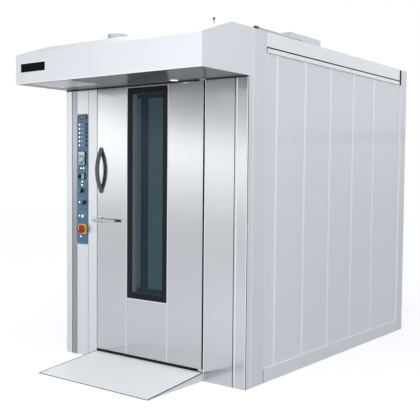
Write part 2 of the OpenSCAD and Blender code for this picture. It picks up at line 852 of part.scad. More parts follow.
// Flexible conduit clipped along the roof edge, its two fittings, and the supply gland
module roof_conduit() {
    nut_t = 2;
    nut_l = 6;
    box_w = 24;
    box_y0 = flange_d + 54;
    box_y1 = box_y0 + 34;
    x = half_w - 34;
    z = roof_z + conduit_r + nut_t + seat;
    y1 = flue_y - flue_d / 2 + 80;
    bend_r = x - (flue_x + flue_w / 2) - nut_l;
    color("dimgray") in_place() {
        bar_y([x, box_y1, z], conduit_r, y1 - box_y1);
        translate([x - bend_r, y1, z]) rotate_extrude(angle = 90)
            translate([bend_r, 0]) circle(r = conduit_r);
        bar_x([flue_x + flue_w / 2, y1 + bend_r, z], conduit_r + nut_t, nut_l);
        translate([gland_x, gland_y, cab_h]) difference() {
            union() {
                cylinder(r = 12, h = 6, $fn = 6);
                cylinder(r = gland_bore_r + gland_wall, h = gland_h);
                bar_z([0, 0, gland_h - gland_head_h], gland_bore_r + 2 * gland_wall, gland_head_h);
            }
            bar_z([0, 0, -1], gland_bore_r, gland_h + 2);
        }
        block([x - box_w / 2, box_y0, roof_z], [x + box_w / 2, box_y1, z + conduit_r]);
    }
}

// ---- Heating unit ----

// Outer or inner walls of the flue pipe, from the upper header to the flue box
module flue_pipe(r, extra) {
    bar_z([riser_x, riser_y, high_header_z + header_h - 10], r, flue_run_z - high_header_z - header_h + 10);
    translate([riser_x, riser_y, flue_run_z]) sphere(r = r);
    bar_x([riser_x, riser_y, flue_run_z], r, flue_x - riser_x);
    translate([flue_x, riser_y, flue_run_z]) sphere(r = r);
    bar_y([flue_x, flue_y, flue_run_z], r, riser_y - flue_y);
    translate([flue_x, flue_y, flue_run_z]) sphere(r = r);
    bar_z([flue_x, flue_y, flue_run_z], r, roof_z - flue_run_z + 15 + extra);
}

// Places of the upright tubes between the two headers
function tube_places() = [
    for (i = [0 : tube_cols - 1], j = [0 : tube_rows - 1])
        [chamber_x0 + 160 + i * (chamber_x1 - chamber_x0 - 320) / (tube_cols - 1),
            header_y0 + 50 + j * (header_y1 - header_y0 - 100) / (tube_rows - 1)]
];

// Combustion drum, headers, tubes and flue pipe, welded into one unit
module heat_exchanger() {
    wall = 3;
    hx0 = chamber_x0 + 90;
    hx1 = chamber_x1 - 90;
    saddle_t = 8;
    color("sienna") in_place() difference() {
        union() {
            bar_y([table_x, drum_y0, drum_z], drum_r, drum_y1 - drum_y0);
            for (y = [drum_y0 + 80, drum_y1 - 80 - saddle_t])
                block([table_x - 150, y, floor_top], [table_x + 150, y + saddle_t, drum_z]);
            bar_y([table_x, drum_y1 - 5, drum_z], port_r, machine_y - sheet_t - drum_y1 + 5);
            bar_z([table_x, header_y0 + 140, drum_z + drum_r - 40], 90, 110);
            block([hx0, header_y0, low_header_z], [hx1, header_y1, low_header_z + header_h]);
            block([hx0, header_y0, high_header_z], [hx1, header_y1, high_header_z + header_h]);
            for (p = tube_places()) bar_z([p[0], p[1], low_header_z + header_h - 5], tube_r,
                high_header_z - low_header_z - header_h + 10);
            flue_pipe(flue_pipe_r, 0);
        }
        bar_y([table_x, drum_y0 + wall, drum_z], drum_r - wall, drum_y1 - drum_y0 - 2 * wall);
        bar_y([table_x, drum_y1 - 20, drum_z], port_r - wall, machine_y);
        bar_z([table_x, header_y0 + 140, drum_z + drum_r - 50], 90 - wall, 140);
        block([hx0 + wall, header_y0 + wall, low_header_z + wall],
            [hx1 - wall, header_y1 - wall, low_header_z + header_h - wall]);
        block([hx0 + wall, header_y0 + wall, high_header_z + wall],
            [hx1 - wall, header_y1 - wall, high_header_z + header_h - wall]);
        for (p = tube_places()) bar_z([p[0], p[1], low_header_z + header_h - 8], tube_r - wall,
            high_header_z - low_header_z - header_h + 16);
        flue_pipe(flue_pipe_r - wall, 5);
    }
}

// Gas burner with its flange, blast tube and blower
module burner() {
    y = machine_y + seat;
    color("firebrick") in_place() {
        difference() {
            union() {
                bar_y([table_x, y - 120, drum_z], port_r - 20, 120);
                bar_y([table_x, y, drum_z], port_r + 40, 14);
                block([table_x - 100, y + 14, drum_z - 110], [table_x + 100, y + 240, drum_z + 90]);
            }
            bar_y([table_x, y - 130, drum_z], port_r - 24, 130);
        }
        bar_x([table_x + 100, y + 120, drum_z - 20], 80, 90);
    }
}

// Motor of the circulation fan on the compartment wall
module fan_motor() {
    y = machine_y + seat;
    color("slategray") in_place() difference() {
        union() {
            block([table_x - 130, y, fan_z - 130], [table_x + 130, y + 10, fan_z + 130]);
            bar_y([table_x, y + 10, fan_z], motor_r, 220);
            bar_y([table_x, y + 230, fan_z], motor_r - 8, 40);
            block([table_x + motor_r - 25, y + 80, fan_z - 40],
                [table_x + motor_r + 30, y + 160, fan_z + 40]);
        }
        bar_y([table_x, y - 1, fan_z], 15 + run, 70);
    }
}

// Cascade of troughs that turns water to steam, with the water pipe over it
module steam_generator() {
    x0 = chamber_x0 + 40;
    x1 = table_x - drum_r - 20;
    y0 = chamber_y1 + sheet_t + seat;
    z0 = floor_top + 260;
    pitch = 120;
    top_z = z0 + steam_trays * pitch;
    color("dimgray") in_place() {
        for (x = [x0, x1 - 6]) block([x, y0, z0], [x + 6, y0 + 60, top_z]);
        for (i = [0 : steam_trays - 1]) difference() {
            block([x0, y0, z0 + i * pitch + 20], [x1, y0 + 60, z0 + i * pitch + 60]);
            block([x0 + 6, y0 + 5, z0 + i * pitch + 26], [x1 - 6, y0 + 55, z0 + i * pitch + 70]);
        }
        bar_x([x0, y0 + 30, top_z - 20], 9, x1 - x0);
    }
}

// ---- Turntable drive ----

// Worm gearmotor that stands on the floor plate
module gearmotor() {
    color("royalblue") in_place() translate([table_x, drive_y, floor_top]) difference() {
        union() {
            block([-70, -70, 0], [70, 70, 110]);
            bar_z([0, 0, 110], 62, 160);
            bar_z([0, 0, 270], 54, 24);
            block([-90, -90, 0], [90, 90, 8]);
        }
        bar_z([0, 0, -1], drive_shaft_r + run, 80);
    }
}

// Loop of roller chain, drawn as a band that runs just outside the teeth
module chain_outline(grow) {
    dist = drive_y - table_y;
    lean = asin((driven_r - drive_r) / dist);
    side = [cos(lean), sin(lean)];
    circle(r = driven_r + grow);
    translate([0, dist]) circle(r = drive_r + grow);
    for (m = [0, 1]) mirror([m, 0, 0])
        polygon([[0, 0], (driven_r + grow) * side, [0, dist] + (drive_r + grow) * side, [0, dist]]);
}

// Roller chain loop
module drive_chain() {
    z = sprocket_z - 1;
    color("darkslategray") in_place() translate([table_x, table_y, z]) linear_extrude(sprocket_t + 2)
        difference() {
            chain_outline(chain_t);
            chain_outline(seat);
        }
}

// Flanged bearing under the turntable shaft
module turntable_bearing() {
    color("darkslategray") in_place() translate([table_x, table_y, 6]) difference() {
        union() {
            cylinder(r = 60, h = 6);
            cylinder(r = shaft_r + 14, h = 17);
        }
        translate([0, 0, 2]) cylinder(r = shaft_r + run, h = 20);
    }
}

// Striking pad of the latch on the left jamb
module latch_strike() {
    color("silver") in_place() block([jamb_l_x - 40, -4, latch_z - 26], [jamb_l_x - 2, 0, latch_z + 26]);
}

// ---- Door leaf ----

// Steel sheets of the door face
module door_sheets() {
    color("gainsboro") in_place() {
        block([door_x0, 0, door_z0], [bay_x0 - seam / 2, sheet_t, door_z1]);
        block([bay_x0 + seam / 2, 0, door_z0], [bay_x1 - seam / 2, sheet_t, window_z0 - seam]);
        block([bay_x0 + seam / 2, 0, window_z1 + seam], [bay_x1 - seam / 2, sheet_t, door_z1]);
        block([bay_x1 + seam / 2, 0, door_z0], [door_x1, sheet_t, door_z1]);
    }
}

// Corners of the window tunnel through the door, grown by g
function tunnel_lo(y, g) = [bay_x0 + border_w - g, y, window_z0 + border_w - g];
function tunnel_hi(y, g) = [bay_x1 - border_w + g, y, window_z1 - border_w + g];

// Mineral wool inside the door leaf
module door_core() {
    y0 = sheet_t + glass_t + 2 * seat;
    y1 = door_t - sheet_t - seat;
    inset = sheet_t + seat;
    color("khaki") in_place() difference() {
        block([door_x0 + inset, y0, door_z0 + inset], [door_x1 - inset, y1, door_z1 - inset]);
        block(tunnel_lo(y0 - 1, sheet_t + seat), tunnel_hi(y1 + 1, sheet_t + seat));
    }
}

// Folded inner sheet of the door with its edges and the lining of the window
module door_inner_tray() {
    y0 = sheet_t;
    y1 = door_t;
    tunnel_y = sheet_t + glass_t + seat;
    color("lightgray") in_place() difference() {
        union() {
            difference() {
                block([door_x0, y0 + seat, door_z0], [door_x1, y1, door_z1]);
                block([door_x0 + sheet_t, y0 - 1, door_z0 + sheet_t],
                    [door_x1 - sheet_t, y1 - sheet_t, door_z1 - sheet_t]);
            }
            block(tunnel_lo(tunnel_y, sheet_t), tunnel_hi(y1, sheet_t));
        }
        block(tunnel_lo(y0 - 1, 0), tunnel_hi(y1 + 1, 0));
    }
}

// Black border of the window
module window_frame() {
    color("black") in_place()
        ring([bay_x0 + seam, 0, window_z0], [bay_x1 - seam, sheet_t, window_z1], border_w - seam);
}

// Outer and inner pane
module window_glass() {
    y0 = sheet_t + seat;
    y1 = door_t - sheet_t - glass_t - 2;
    color("darkslategray", 0.6) in_place() {
        block([bay_x0 + 6, y0, window_z0 + 4], [bay_x1 - 6, y0 + glass_t - seat, window_z1 - 4]);
        block(tunnel_lo(y1, -seat), tunnel_hi(y1 + glass_t, -seat));
    }
}

// Heat resistant gasket on the inner face
module door_gasket() {
    e = pin_in + 5;
    color("dimgray") in_place()
        ring([door_x0 + e, door_t, door_z0 + 8], [door_x1 - e, door_t + gasket_t, door_z1 - e], gasket_w);
}

// Rubber wiper under the door
module door_sweep() {
    color("black") in_place() {
        block([door_x0 + 4, 24, sill_h + 3], [hinge_x - bracket_in - 40, 32, door_z0]);
        block([door_x0 + 4, 14, door_z0 - 6], [hinge_x - bracket_in - 40, 24, door_z0]);
    }
}

// Bowed pull handle on two round feet
module pull_handle() {
    half_l = handle_l / 2;
    bow_r = (half_l * half_l + handle_out * handle_out) / (2 * handle_out);
    x = door_x0 + handle_in - handle_bar_w / 2;
    color("dimgray") in_place() {
        intersection() {
            translate([x, 0, handle_z]) rotate([90, 0, 90]) linear_extrude(handle_bar_w)
                translate([bow_r - handle_out, 0]) difference() {
                    circle(r = bow_r, $fn = 128);
                    circle(r = bow_r - handle_bar_t, $fn = 128);
                }
            block([x - 1, -handle_out - 1, handle_z - half_l],
                [x + handle_bar_w + 1, 0, handle_z + half_l]);
        }
        for (s = [-1, 1]) bar_y([x + handle_bar_w / 2, -5, handle_z + s * (half_l - 16)], 22, 5);
    }
}

// Fork on the door that carries the latch lever
module latch_base() {
    x = door_x0 + latch_in;
    color("silver") in_place() difference() {
        union() {
            block([x - 19, -4, latch_z - 34], [x + 19, 0, latch_z + 34]);
            for (z = [latch_z - 21, latch_z + 12]) {
                block([x - 11, -latch_out, z], [x + 11, -3, z + 9]);
                bar_z([x, -latch_out, z], 11, 9);
            }
        }
        bar_z([x, -latch_out, latch_z - 30], 4 + run, 60);
    }
}

// Pins of the door hinge on their shims
module hinge_pins() {
    x0 = hinge_x - bracket_in;
    color("silver") in_place() {
        block([x0, 2, door_z0 - shim_t], [door_x1 - 2, 40, door_z0]);
        bar_z([hinge_x, pin_back, low_bracket_z], pin_r, door_z0 - low_bracket_z);
        block([x0, 2, door_z1], [door_x1 - 2, 40, door_z1 + shim_t]);
        bar_z([hinge_x, pin_back, door_z1], pin_r, shim_t + bracket_t + 1);
    }
}

// Latch lever with its own pin; its nose lies over the striking pad
module latch_lever() {
    x = door_x0 + latch_in;
    color("lightgray") in_place() {
        bar_z([x, -latch_out, latch_z - 22], 4, 44);
        bar_z([x, -latch_out, latch_z - 11], 10.5, 22);
        translate([x, -latch_out, latch_z - 11]) linear_extrude(22)
            polygon([[-latch_nose, -8], [latch_l, -6], [latch_l, 3], [0, 8], [-latch_nose, 6]]);
    }
}

// ---- Turning pieces ----

// Turntable plate with its shaft and the guide rails of the rack
module turntable() {
    rail_l = table_r * 1.2;
    color("silver") in_place() translate([table_x, table_y, 0]) {
        bar_z([0, 0, table_z], table_r, table_t);
        bar_z([0, 0, 9], shaft_r, table_z - 9);
        for (s = [-1, 1]) translate([s * (guide_gap / 2 + 4), 0, 0])
            block([-4, -rail_l / 2, table_z + table_t - 1], [4, rail_l / 2, table_z + table_t + guide_h]);
        block([-guide_gap / 2, rail_l / 2 - 8, table_z + table_t - 1],
            [guide_gap / 2, rail_l / 2, table_z + table_t + guide_h]);
    }
}

// Toothed disc with n teeth, outer radius r and bore radius b
module sprocket(n, r, b) {
    tooth = 5;
    linear_extrude(sprocket_t) difference() {
        polygon([for (i = [0 : n - 1], k = [0 : 3])
            let (a = (i + [0, 0.22, 0.5, 0.72][k]) * 360 / n, q = k < 2 ? r - 0.5 : r - tooth)
            [q * cos(a), q * sin(a)]]);
        circle(r = b);
    }
}

// Large sprocket on the turntable shaft
module driven_sprocket() {
    color("dimgray") in_place() translate([table_x, table_y, sprocket_z])
        sprocket(driven_teeth, driven_r, shaft_r + run);
}

// Small sprocket with the output shaft of the gearmotor
module drive_sprocket() {
    color("dimgray") in_place() translate([table_x, drive_y, sprocket_z]) {
        sprocket(drive_teeth, drive_r, drive_shaft_r - 1);
        bar_z([0, 0, 0], drive_shaft_r, floor_top - sprocket_z + 60);
    }
}

// Radial fan wheel with its shaft
module circulation_fan() {
    shaft_l = machine_y + 60 - fan_y;
    color("silver") in_place() translate([table_x, fan_y, fan_z]) {
        bar_y([0, fan_w - 4, 0], fan_r, 4);
        bar_y([0, fan_w, 0], 15, shaft_l - fan_w);
        difference() {
            bar_y([0, 0, 0], fan_r, 3);
            bar_y([0, -1, 0], fan_r * 0.68, 5);
        }
        for (i = [0 : fan_blades - 1]) rotate([0, i * 360 / fan_blades, 0])
            block([fan_r * 0.6, 2, -2], [fan_r - 3, fan_w - 3, 2]);
    }
}

// Rotary knob with a grip bar and a spindle through its seat plane
module knob(x, y, z, r, out) {
    translate([x, y, z]) {
        bar_y([0, -out + 6, 0], r, out - 6 - seat);
        block([-r * 0.28, -out, -r * 0.92], [r * 0.28, -out + 8, r * 0.92]);
        bar_y([0, -1, 0], spindle_r, 10);
    }
}

module fan_knob() {
    color("black") in_place() knob(dial_x - knob_shift, control_face, fan_knob_z, knob_r, knob_out);
}

module light_knob() {
    color("black") in_place() knob(dial_x, control_face, light_knob_z, knob_r, knob_out);
}

module steam_knob() {
    color("black") in_place() knob(dial_x + knob_shift, control_face, steam_knob_z, knob_r, knob_out);
}

module key_switch() {
    color("silver") in_place()
        knob(dial_x + knob_shift, control_face, key_switch_z, knob_r - 3, knob_out + 4);
}

module timer_dial() {
    color("black") in_place() knob(dial_x, control_face - module_out, timer_z, knob_r + 3, 12);
}

module main_switch_knob() {
    color("red") in_place()
        knob(switch_x, control_face - switch_out, switch_z, switch_r, switch_knob_out);
}

// Push key number i, counted from the top
module push_key(i) {
    half = key_size / 2;
    color("darkslategray") in_place() translate([key_x, 0, key_top - i * key_pitch])
        block([-half, control_face - 4, -half], [half, 1, half]);
}

module key_1() { push_key(0); }
module key_2() { push_key(1); }
module key_3() { push_key(2); }
module key_4() { push_key(3); }
module key_5() { push_key(4); }
module key_6() { push_key(5); }

base_frame();
plinth();
chamber_floor();
chamber_liner();
hot_zone_liner();
insulation();
outer_frame();
side_panels();
roof_panel();
rear_panels();
front_columns();
door_frame();
hinge_brackets();
entry_ramp();
hood_shell();
hood_underside();
lamps();
exhaust_collar();
control_panel();
control_displays();
indicator_lamps();
main_switch_box();
electrical_box();
flue_box();
roof_conduit();
heat_exchanger();
burner();
fan_motor();
steam_generator();
gearmotor();
drive_chain();
turntable_bearing();
latch_strike();
door_sheets();
door_core();
door_inner_tray();
window_frame();
window_glass();
door_gasket();
door_sweep();
pull_handle();
latch_base();
hinge_pins();
latch_lever();
turntable();
driven_sprocket();
drive_sprocket();
circulation_fan();
fan_knob();
light_knob();
steam_knob();
key_switch();
timer_dial();
main_switch_knob();
key_1();
key_2();
key_3();
key_4();
key_5();
key_6();
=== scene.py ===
import json
import math

import bpy
from mathutils import Matrix, Vector

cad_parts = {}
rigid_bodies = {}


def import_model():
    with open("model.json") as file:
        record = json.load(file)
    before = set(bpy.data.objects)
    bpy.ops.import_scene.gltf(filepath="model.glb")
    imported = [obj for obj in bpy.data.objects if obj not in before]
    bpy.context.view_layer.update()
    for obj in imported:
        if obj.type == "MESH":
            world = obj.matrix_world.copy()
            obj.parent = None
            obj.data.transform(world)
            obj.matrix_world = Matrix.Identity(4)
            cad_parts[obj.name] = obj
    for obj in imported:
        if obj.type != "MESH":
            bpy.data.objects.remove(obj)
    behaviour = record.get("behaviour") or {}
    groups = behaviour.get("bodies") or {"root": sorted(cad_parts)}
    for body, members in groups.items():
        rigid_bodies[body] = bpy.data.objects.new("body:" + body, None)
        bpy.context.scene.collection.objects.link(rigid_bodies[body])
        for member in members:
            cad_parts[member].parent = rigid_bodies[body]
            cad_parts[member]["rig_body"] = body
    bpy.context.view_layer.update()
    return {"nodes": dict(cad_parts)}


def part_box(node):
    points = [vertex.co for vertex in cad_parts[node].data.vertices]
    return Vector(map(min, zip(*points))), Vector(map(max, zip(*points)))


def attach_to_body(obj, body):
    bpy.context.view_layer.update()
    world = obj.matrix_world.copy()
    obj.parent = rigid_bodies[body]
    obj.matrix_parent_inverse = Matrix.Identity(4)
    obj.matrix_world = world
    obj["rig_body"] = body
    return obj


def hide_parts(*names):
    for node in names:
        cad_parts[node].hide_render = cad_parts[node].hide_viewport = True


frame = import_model()

# ---- Studio ----
# The camera stands to the right of the front, a little over half the cabinet's height.
# The floor and the surroundings are white; a wide soft lamp stands before the door.
yaw, pitch, roll = (math.radians(a) for a in (37.19, 2.788, 0.509))
ahead = Vector(
    (-math.sin(yaw) * math.cos(pitch), math.cos(yaw) * math.cos(pitch), -math.sin(pitch))
)
level = ahead.cross(Vector((0, 0, 1))).normalized()
upright = level.cross(ahead)
right = math.cos(roll) * level + math.sin(roll) * upright
up = math.cos(roll) * upright - math.sin(roll) * level
camera_data = bpy.data.cameras.new("camera")
camera_data.lens = 64.27
camera_data.sensor_width = 36
camera_data.clip_end = 60
camera = bpy.data.objects.new("camera", camera_data)
turn = Matrix((right, up, -ahead)).transposed().to_4x4()
camera.matrix_world = Matrix.Translation((3.655, -5.083, 1.442)) @ turn
bpy.context.scene.collection.objects.link(camera)
bpy.context.scene.camera = camera
bpy.context.scene.view_settings.view_transform = "Standard"


class Value:
    """A shader socket that takes part in sums."""

    def __init__(self, finish, socket):
        self.finish = finish
        self.socket = socket

    def math(self, operation, first, second):
        return self.finish.node("Math", {"operation": operation}, {0: first, 1: second})

    def __add__(self, other):
        return self.math("ADD", self, other)

    def __sub__(self, other):
        return self.math("SUBTRACT", self, other)

    def __mul__(self, other):
        return self.math("MULTIPLY", self, other)

    def __rsub__(self, other):
        return self.math("SUBTRACT", other, self)

    __radd__ = __add__
    __rmul__ = __mul__

    def positive(self):
        return self.math("MAXIMUM", self, 0.0)


class Finish:
    """The nodes of one material, or of the world."""

    def __init__(self, owner):
        if isinstance(owner, str):
            owner = bpy.data.materials.new(owner)
        owner.use_nodes = True
        self.material = owner
        self.tree = owner.node_tree
        self.tree.nodes.clear()

    def node(self, kind, settings=None, inputs=None, output=0):
        """Adds a node and gives one of its outputs. A ramp's stops are listed from 0 to 1."""
        made = self.tree.nodes.new("ShaderNode" + kind)
        for key, value in (settings or {}).items():
            if key == "stops":
                stops = made.color_ramp.elements
                for place, _ in value[1:-1]:
                    stops.new(place)
                for stop, (place, shade) in zip(stops, value):
                    stop.position = place
                    stop.color = (shade, shade, shade, 1)
            else:
                setattr(made, key, value)
        for key, value in (inputs or {}).items():
            if isinstance(value, Value):
                self.tree.links.new(value.socket, made.inputs[key])
            else:
                made.inputs[key].default_value = value
        return Value(self, made.outputs[output])

    def mix(self, factor, low, high):
        return self.node("Mix", {"data_type": "RGBA"}, {0: factor, 6: low, 7: high}, 2)

    def noise(self, scale, stretch=(1, 1, 1), detail=3):
        place = self.node("TexCoord", output=3)
        place = self.node("Mapping", inputs={"Vector": place, "Scale": stretch})
        return self.node("TexNoise", inputs={"Vector": place, "Scale": scale, "Detail": detail})

    def bump(self, height, distance):
        return self.node("Bump", inputs={"Height": height, "Distance": distance, "Strength": 1.0})

    def rays(self):
        """Each is 1 for its kind of ray: seen by the camera, mirrored, or through glass."""
        return [self.node("LightPath", output=i) for i in (0, 3, 6)]

    def backdrop(self):
        """1 for the rays that the camera sees directly, in metal or through glass."""
        seen, mirrored, through = self.rays()
        direct = seen + mirrored
        return direct.math("MAXIMUM", direct, through)

    def surface(self, **inputs):
        sockets = {name.replace("_", " "): value for name, value in inputs.items()}
        shader = self.node("BsdfPrincipled", inputs=sockets)
        self.end(shader, "OutputMaterial")
        return self

    def end(self, shader, kind):
        out = self.tree.nodes.new("ShaderNode" + kind)
        self.tree.links.new(shader.socket, out.inputs["Surface"])


def tone(red, green, blue):
    return (red, green, blue, 1.0)


world = bpy.data.worlds.new("studio")
bpy.context.scene.world = world
sky = Finish(world)
direction = sky.node("TexCoord", output=0)
height = sky.node("SeparateXYZ", inputs={0: direction}, output=2)
across = sky.node("SeparateXYZ", inputs={0: direction})
# Metal mirrors a bright band round the horizon with a dark one over it. A stop has a height,
# from 0 straight down to 1 straight up, and a brightness. Over BAND_START the stops crowd
# together towards the right.
BAND_START, CROWD_FROM, CROWDING = 0.52, -0.70, 36.0
BANDS = [
    (0.0, 0.40),
    (0.480, 0.48),
    (0.506, 0.74),
    (0.518, 1.0),
    (0.534, 1.0),
    (0.549, 0.52),
    (0.562, 0.30),
    (0.62, 0.16),
    (0.75, 0.13),
    (1.0, 1.0),
]
place = height * 0.5 + 0.5
place = place + (place - BAND_START).positive() * (across - CROWD_FROM).positive() * CROWDING
softbox = sky.node("ValToRGB", {"stops": BANDS}, {0: place})
overhead = height.positive() * 0.72 + 0.38
lit = sky.node("Background", inputs={"Color": tone(0.95, 0.97, 1.0), "Strength": overhead})
mirror = sky.node("Background", inputs={"Color": softbox, "Strength": 2.45})
plain = sky.node("Background", inputs={"Color": tone(1, 1, 1), "Strength": 1.0})
seen, mirrored, through = sky.rays()
shade = sky.node("MixShader", inputs={0: mirrored, 1: lit, 2: mirror})
shade = sky.node("MixShader", inputs={0: seen.math("MAXIMUM", seen, through), 1: shade, 2: plain})
sky.end(shade, "OutputWorld")

lamp_data = bpy.data.lights.new("front_lamp", "AREA")
lamp_data.shape = "RECTANGLE"
lamp_data.size = 3.0
lamp_data.size_y = 2.2
lamp_data.energy = 116
front_lamp = bpy.data.objects.new("front_lamp", lamp_data)
front_lamp.location = (2.1, -5.2, 2.0)
front_lamp.rotation_euler = (math.radians(85), 0, math.radians(28))
front_lamp.visible_glossy = False
front_lamp.visible_camera = False
bpy.context.scene.collection.objects.link(front_lamp)

bpy.ops.object.select_all(action="DESELECT")
bpy.ops.mesh.primitive_plane_add(size=40, location=(0, 0, -0.0005))
floor = bpy.context.object
floor.name = "floor"
ground = Finish("floor_white")
soft = ground.node("BsdfDiffuse", inputs={"Color": tone(0.38, 0.39, 0.42)})
white = ground.node("BsdfDiffuse", inputs={"Color": tone(0.66, 0.66, 0.67)})
glow = ground.node("Emission", inputs={"Color": tone(1, 1, 1), "Strength": 0.44})
lifted = ground.node("AddShader", inputs={0: white, 1: glow})
ground.end(
    ground.node("MixShader", inputs={0: ground.backdrop(), 1: soft, 2: lifted}),
    "OutputMaterial",
)
floor.data.materials.append(ground.material)


# ---- Base frame and floor plate ----
# Painted square rails stand on the shop floor and carry a stainless floor plate. They are
# welded, and only their ends show below the rear panels.
SMOOTH = math.radians(35)


def coat(node, finish):
    """The CAD node keeps its shape and gets this finish."""
    mesh = frame["nodes"][node].data
    mesh.materials.clear()
    mesh.materials.append(finish.material)


def only(*pieces):
    """Selects these pieces and nothing else."""
    bpy.ops.object.select_all(action="DESELECT")
    for piece in pieces:
        piece.select_set(True)
    bpy.context.view_layer.objects.active = pieces[0]


def attach(piece, name, body, finish):
    """Bakes the piece's place into its mesh, and gives it its name, finish and body."""
    only(piece)
    bpy.ops.object.transform_apply(location=True, rotation=True, scale=True)
    piece.name = name
    piece.data.materials.clear()
    piece.data.materials.append(finish.material)
    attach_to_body(piece, body)
    return piece


def joined(pieces):
    """Makes one piece of them."""
    only(*pieces)
    if len(pieces) > 1:
        bpy.ops.object.join()
    return pieces[0]


def formed(node, finish, edge, segments=2, apart=None):
    """Replaces the CAD node with a copy whose edges are rounded by this radius.

    apart holds a test, a name and a finish: the loose parts whose middle passes the test
    become a second piece.
    """
    source = frame["nodes"][node]
    piece = bpy.data.objects.new(node + "_formed", source.data.copy())
    bpy.context.scene.collection.objects.link(piece)
    only(piece)
    bpy.ops.object.mode_set(mode="EDIT")
    bpy.ops.mesh.select_all(action="SELECT")
    bpy.ops.mesh.remove_doubles(threshold=0.00001)
    bpy.ops.mesh.dissolve_limited(angle_limit=math.radians(0.5))
    bpy.ops.object.mode_set(mode="OBJECT")
    rounding = piece.modifiers.new("rounding", "BEVEL")
    rounding.width = edge
    rounding.segments = segments
    rounding.limit_method = "ANGLE"
    rounding.angle_limit = SMOOTH
    bpy.ops.object.modifier_apply(modifier="rounding")
    bpy.ops.object.shade_smooth_by_angle(angle=SMOOTH)
    flat_faces = piece.modifiers.new("flat_faces", "WEIGHTED_NORMAL")
    flat_faces.weight = 90
    flat_faces.keep_sharp = True
    bpy.ops.object.modifier_apply(modifier="flat_faces")
    if apart:
        test, name, other_finish = apart
        bpy.ops.mesh.separate(type="LOOSE")
        loose = list(bpy.context.selected_objects)
        middles = [sum((Vector(c) for c in part.bound_box), Vector()) / 8 for part in loose]
        other = joined([part for part, middle in zip(loose, middles) if test(middle)])
        piece = joined([part for part, middle in zip(loose, middles) if not test(middle)])
        attach(other, name, source["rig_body"], other_finish)
    attach(piece, node + "_formed", source["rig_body"], finish)
    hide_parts(node)


def painted(name, colour, roughness, texture=900, depth=0.00004, stain=0.04):
    """Stoved paint with a faint orange peel and a little dust."""
    finish = Finish(name)
    cloud = finish.noise(2.3, detail=4)
    low = tone(*(part * (1 - stain) for part in colour))
    return finish.surface(
        Base_Color=finish.mix(cloud, low, tone(*colour)),
        Roughness=cloud * 0.12 + (roughness - 0.06),
        Normal=finish.bump(finish.noise(texture, detail=1), depth),
        Coat_Weight=0.15,
    )


def brushed(name, colour, roughness, grain, metallic=1.0, stain=0.05, depth=0.00001):
    """Sheet steel with a fine grain along the axis whose stretch is small."""
    finish = Finish(name)
    lines = finish.noise(900, grain, detail=2)
    cloud = finish.noise(1.2, detail=3)
    low = tone(*(part * (1 - stain) for part in colour))
    return finish.surface(
        Base_Color=finish.mix(cloud * 0.7 + lines * 0.3, low, tone(*colour)),
        Metallic=metallic,
        Roughness=lines * 0.06 + cloud * 0.06 + (roughness - 0.06),
        Normal=finish.bump(lines, depth),
    )


ALONG_Z = (1, 1, 0.012)
ALONG_X = (0.012, 1, 1)
ALONG_Y = (1, 0.012, 1)
base_paint = painted("base_paint", (0.035, 0.038, 0.042), 0.55, texture=300)
coat("base_frame", base_paint)
inner_steel = brushed("chamber_steel", (0.44, 0.46, 0.47), 0.36, ALONG_Z, stain=0.18)
coat("chamber_floor", inner_steel)
FLOOR_Y0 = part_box("chamber_floor")[0].y

# ---- Baking chamber ----
# Slotted duct walls, ceiling and rear wall of stainless sheet, screwed to the door frame.
# Heat and steam have left them a little straw coloured.
baked_steel = brushed("baked_steel", (0.40, 0.38, 0.35), 0.34, ALONG_Z, stain=0.22)
for node in ("chamber_liner", "hot_zone_liner"):
    coat(node, baked_steel)
coat("door_frame", inner_steel)


def clouded(name, low, high, roughness, glow=(1, 1, 1), strength=0.0, gloss=0.0):
    """Glass, print or plastic that is a little uneven, and may be lit from behind."""
    finish = Finish(name)
    cloud = finish.noise(140, detail=2)
    return finish.surface(
        Base_Color=finish.mix(cloud, tone(*low), tone(*high)),
        Roughness=cloud * 0.10 + (roughness - 0.05),
        Coat_Weight=gloss,
        Emission_Color=tone(*glow),
        Emission_Strength=strength,
    )


lamp_glass = clouded(
    "lamp_glass", (0.84, 0.84, 0.80), (0.96, 0.96, 0.92), 0.35, glow=(1.0, 0.97, 0.9), strength=0.75
)
strip_glass = clouded(
    "strip_glass", (0.78, 0.87, 0.90), (0.90, 0.95, 0.98), 0.35, glow=(0.72, 0.93, 1.0), strength=2.0
)
formed(
    "lamps",
    lamp_glass,
    0.003,
    3,
    apart=(lambda middle: middle.y > FLOOR_Y0, "strip_lamp", strip_glass),
)

# ---- Mineral wool ----
# Resin bonded mats fill the walls, the roof and the door leaf.
wool = Finish("mineral_wool")
fibres = wool.noise(220, (1, 1, 4), detail=6)
wool.surface(
    Base_Color=wool.mix(fibres, tone(0.28, 0.23, 0.09), tone(0.55, 0.48, 0.24)),
    Roughness=0.95,
    Normal=wool.bump(fibres, 0.003),
)
for node in ("insulation", "door_core"):
    coat(node, wool)

# ---- Corner posts, plinth and fascias ----
# Folded from sheet and painted. At the seams white strips paint the highlight of a fold and black
# strips paint the shade in a thin gap. Under the side fascias a white strip paints the highlight of
# the trim, above a black strip that is a seal and the painted shade of the recess.
HALF_W, FRONT_Y, TOP_Z = 0.870, -1.010, 2.400
PANELS_Y0, PANELS_Y1, REAR_POST_Y = FRONT_Y + 0.221, FRONT_Y + 2.430, FRONT_Y + 2.471
PLINTH_TOP, TRIM_LOW, FASCIA_LOW, HOOD_LOW = 0.100, 2.262, 2.300, 2.085
# A trim stands this far out of its sheet, is sunk this far into it and ends this far from the
# floor and the hood. The front's folds are this wide, and a thin plate's edges this round.
PROUD, SUNK, CLEAR, FOLD, FINE_EDGE = 0.0008, 0.001, 0.001, 0.0045, 0.0004


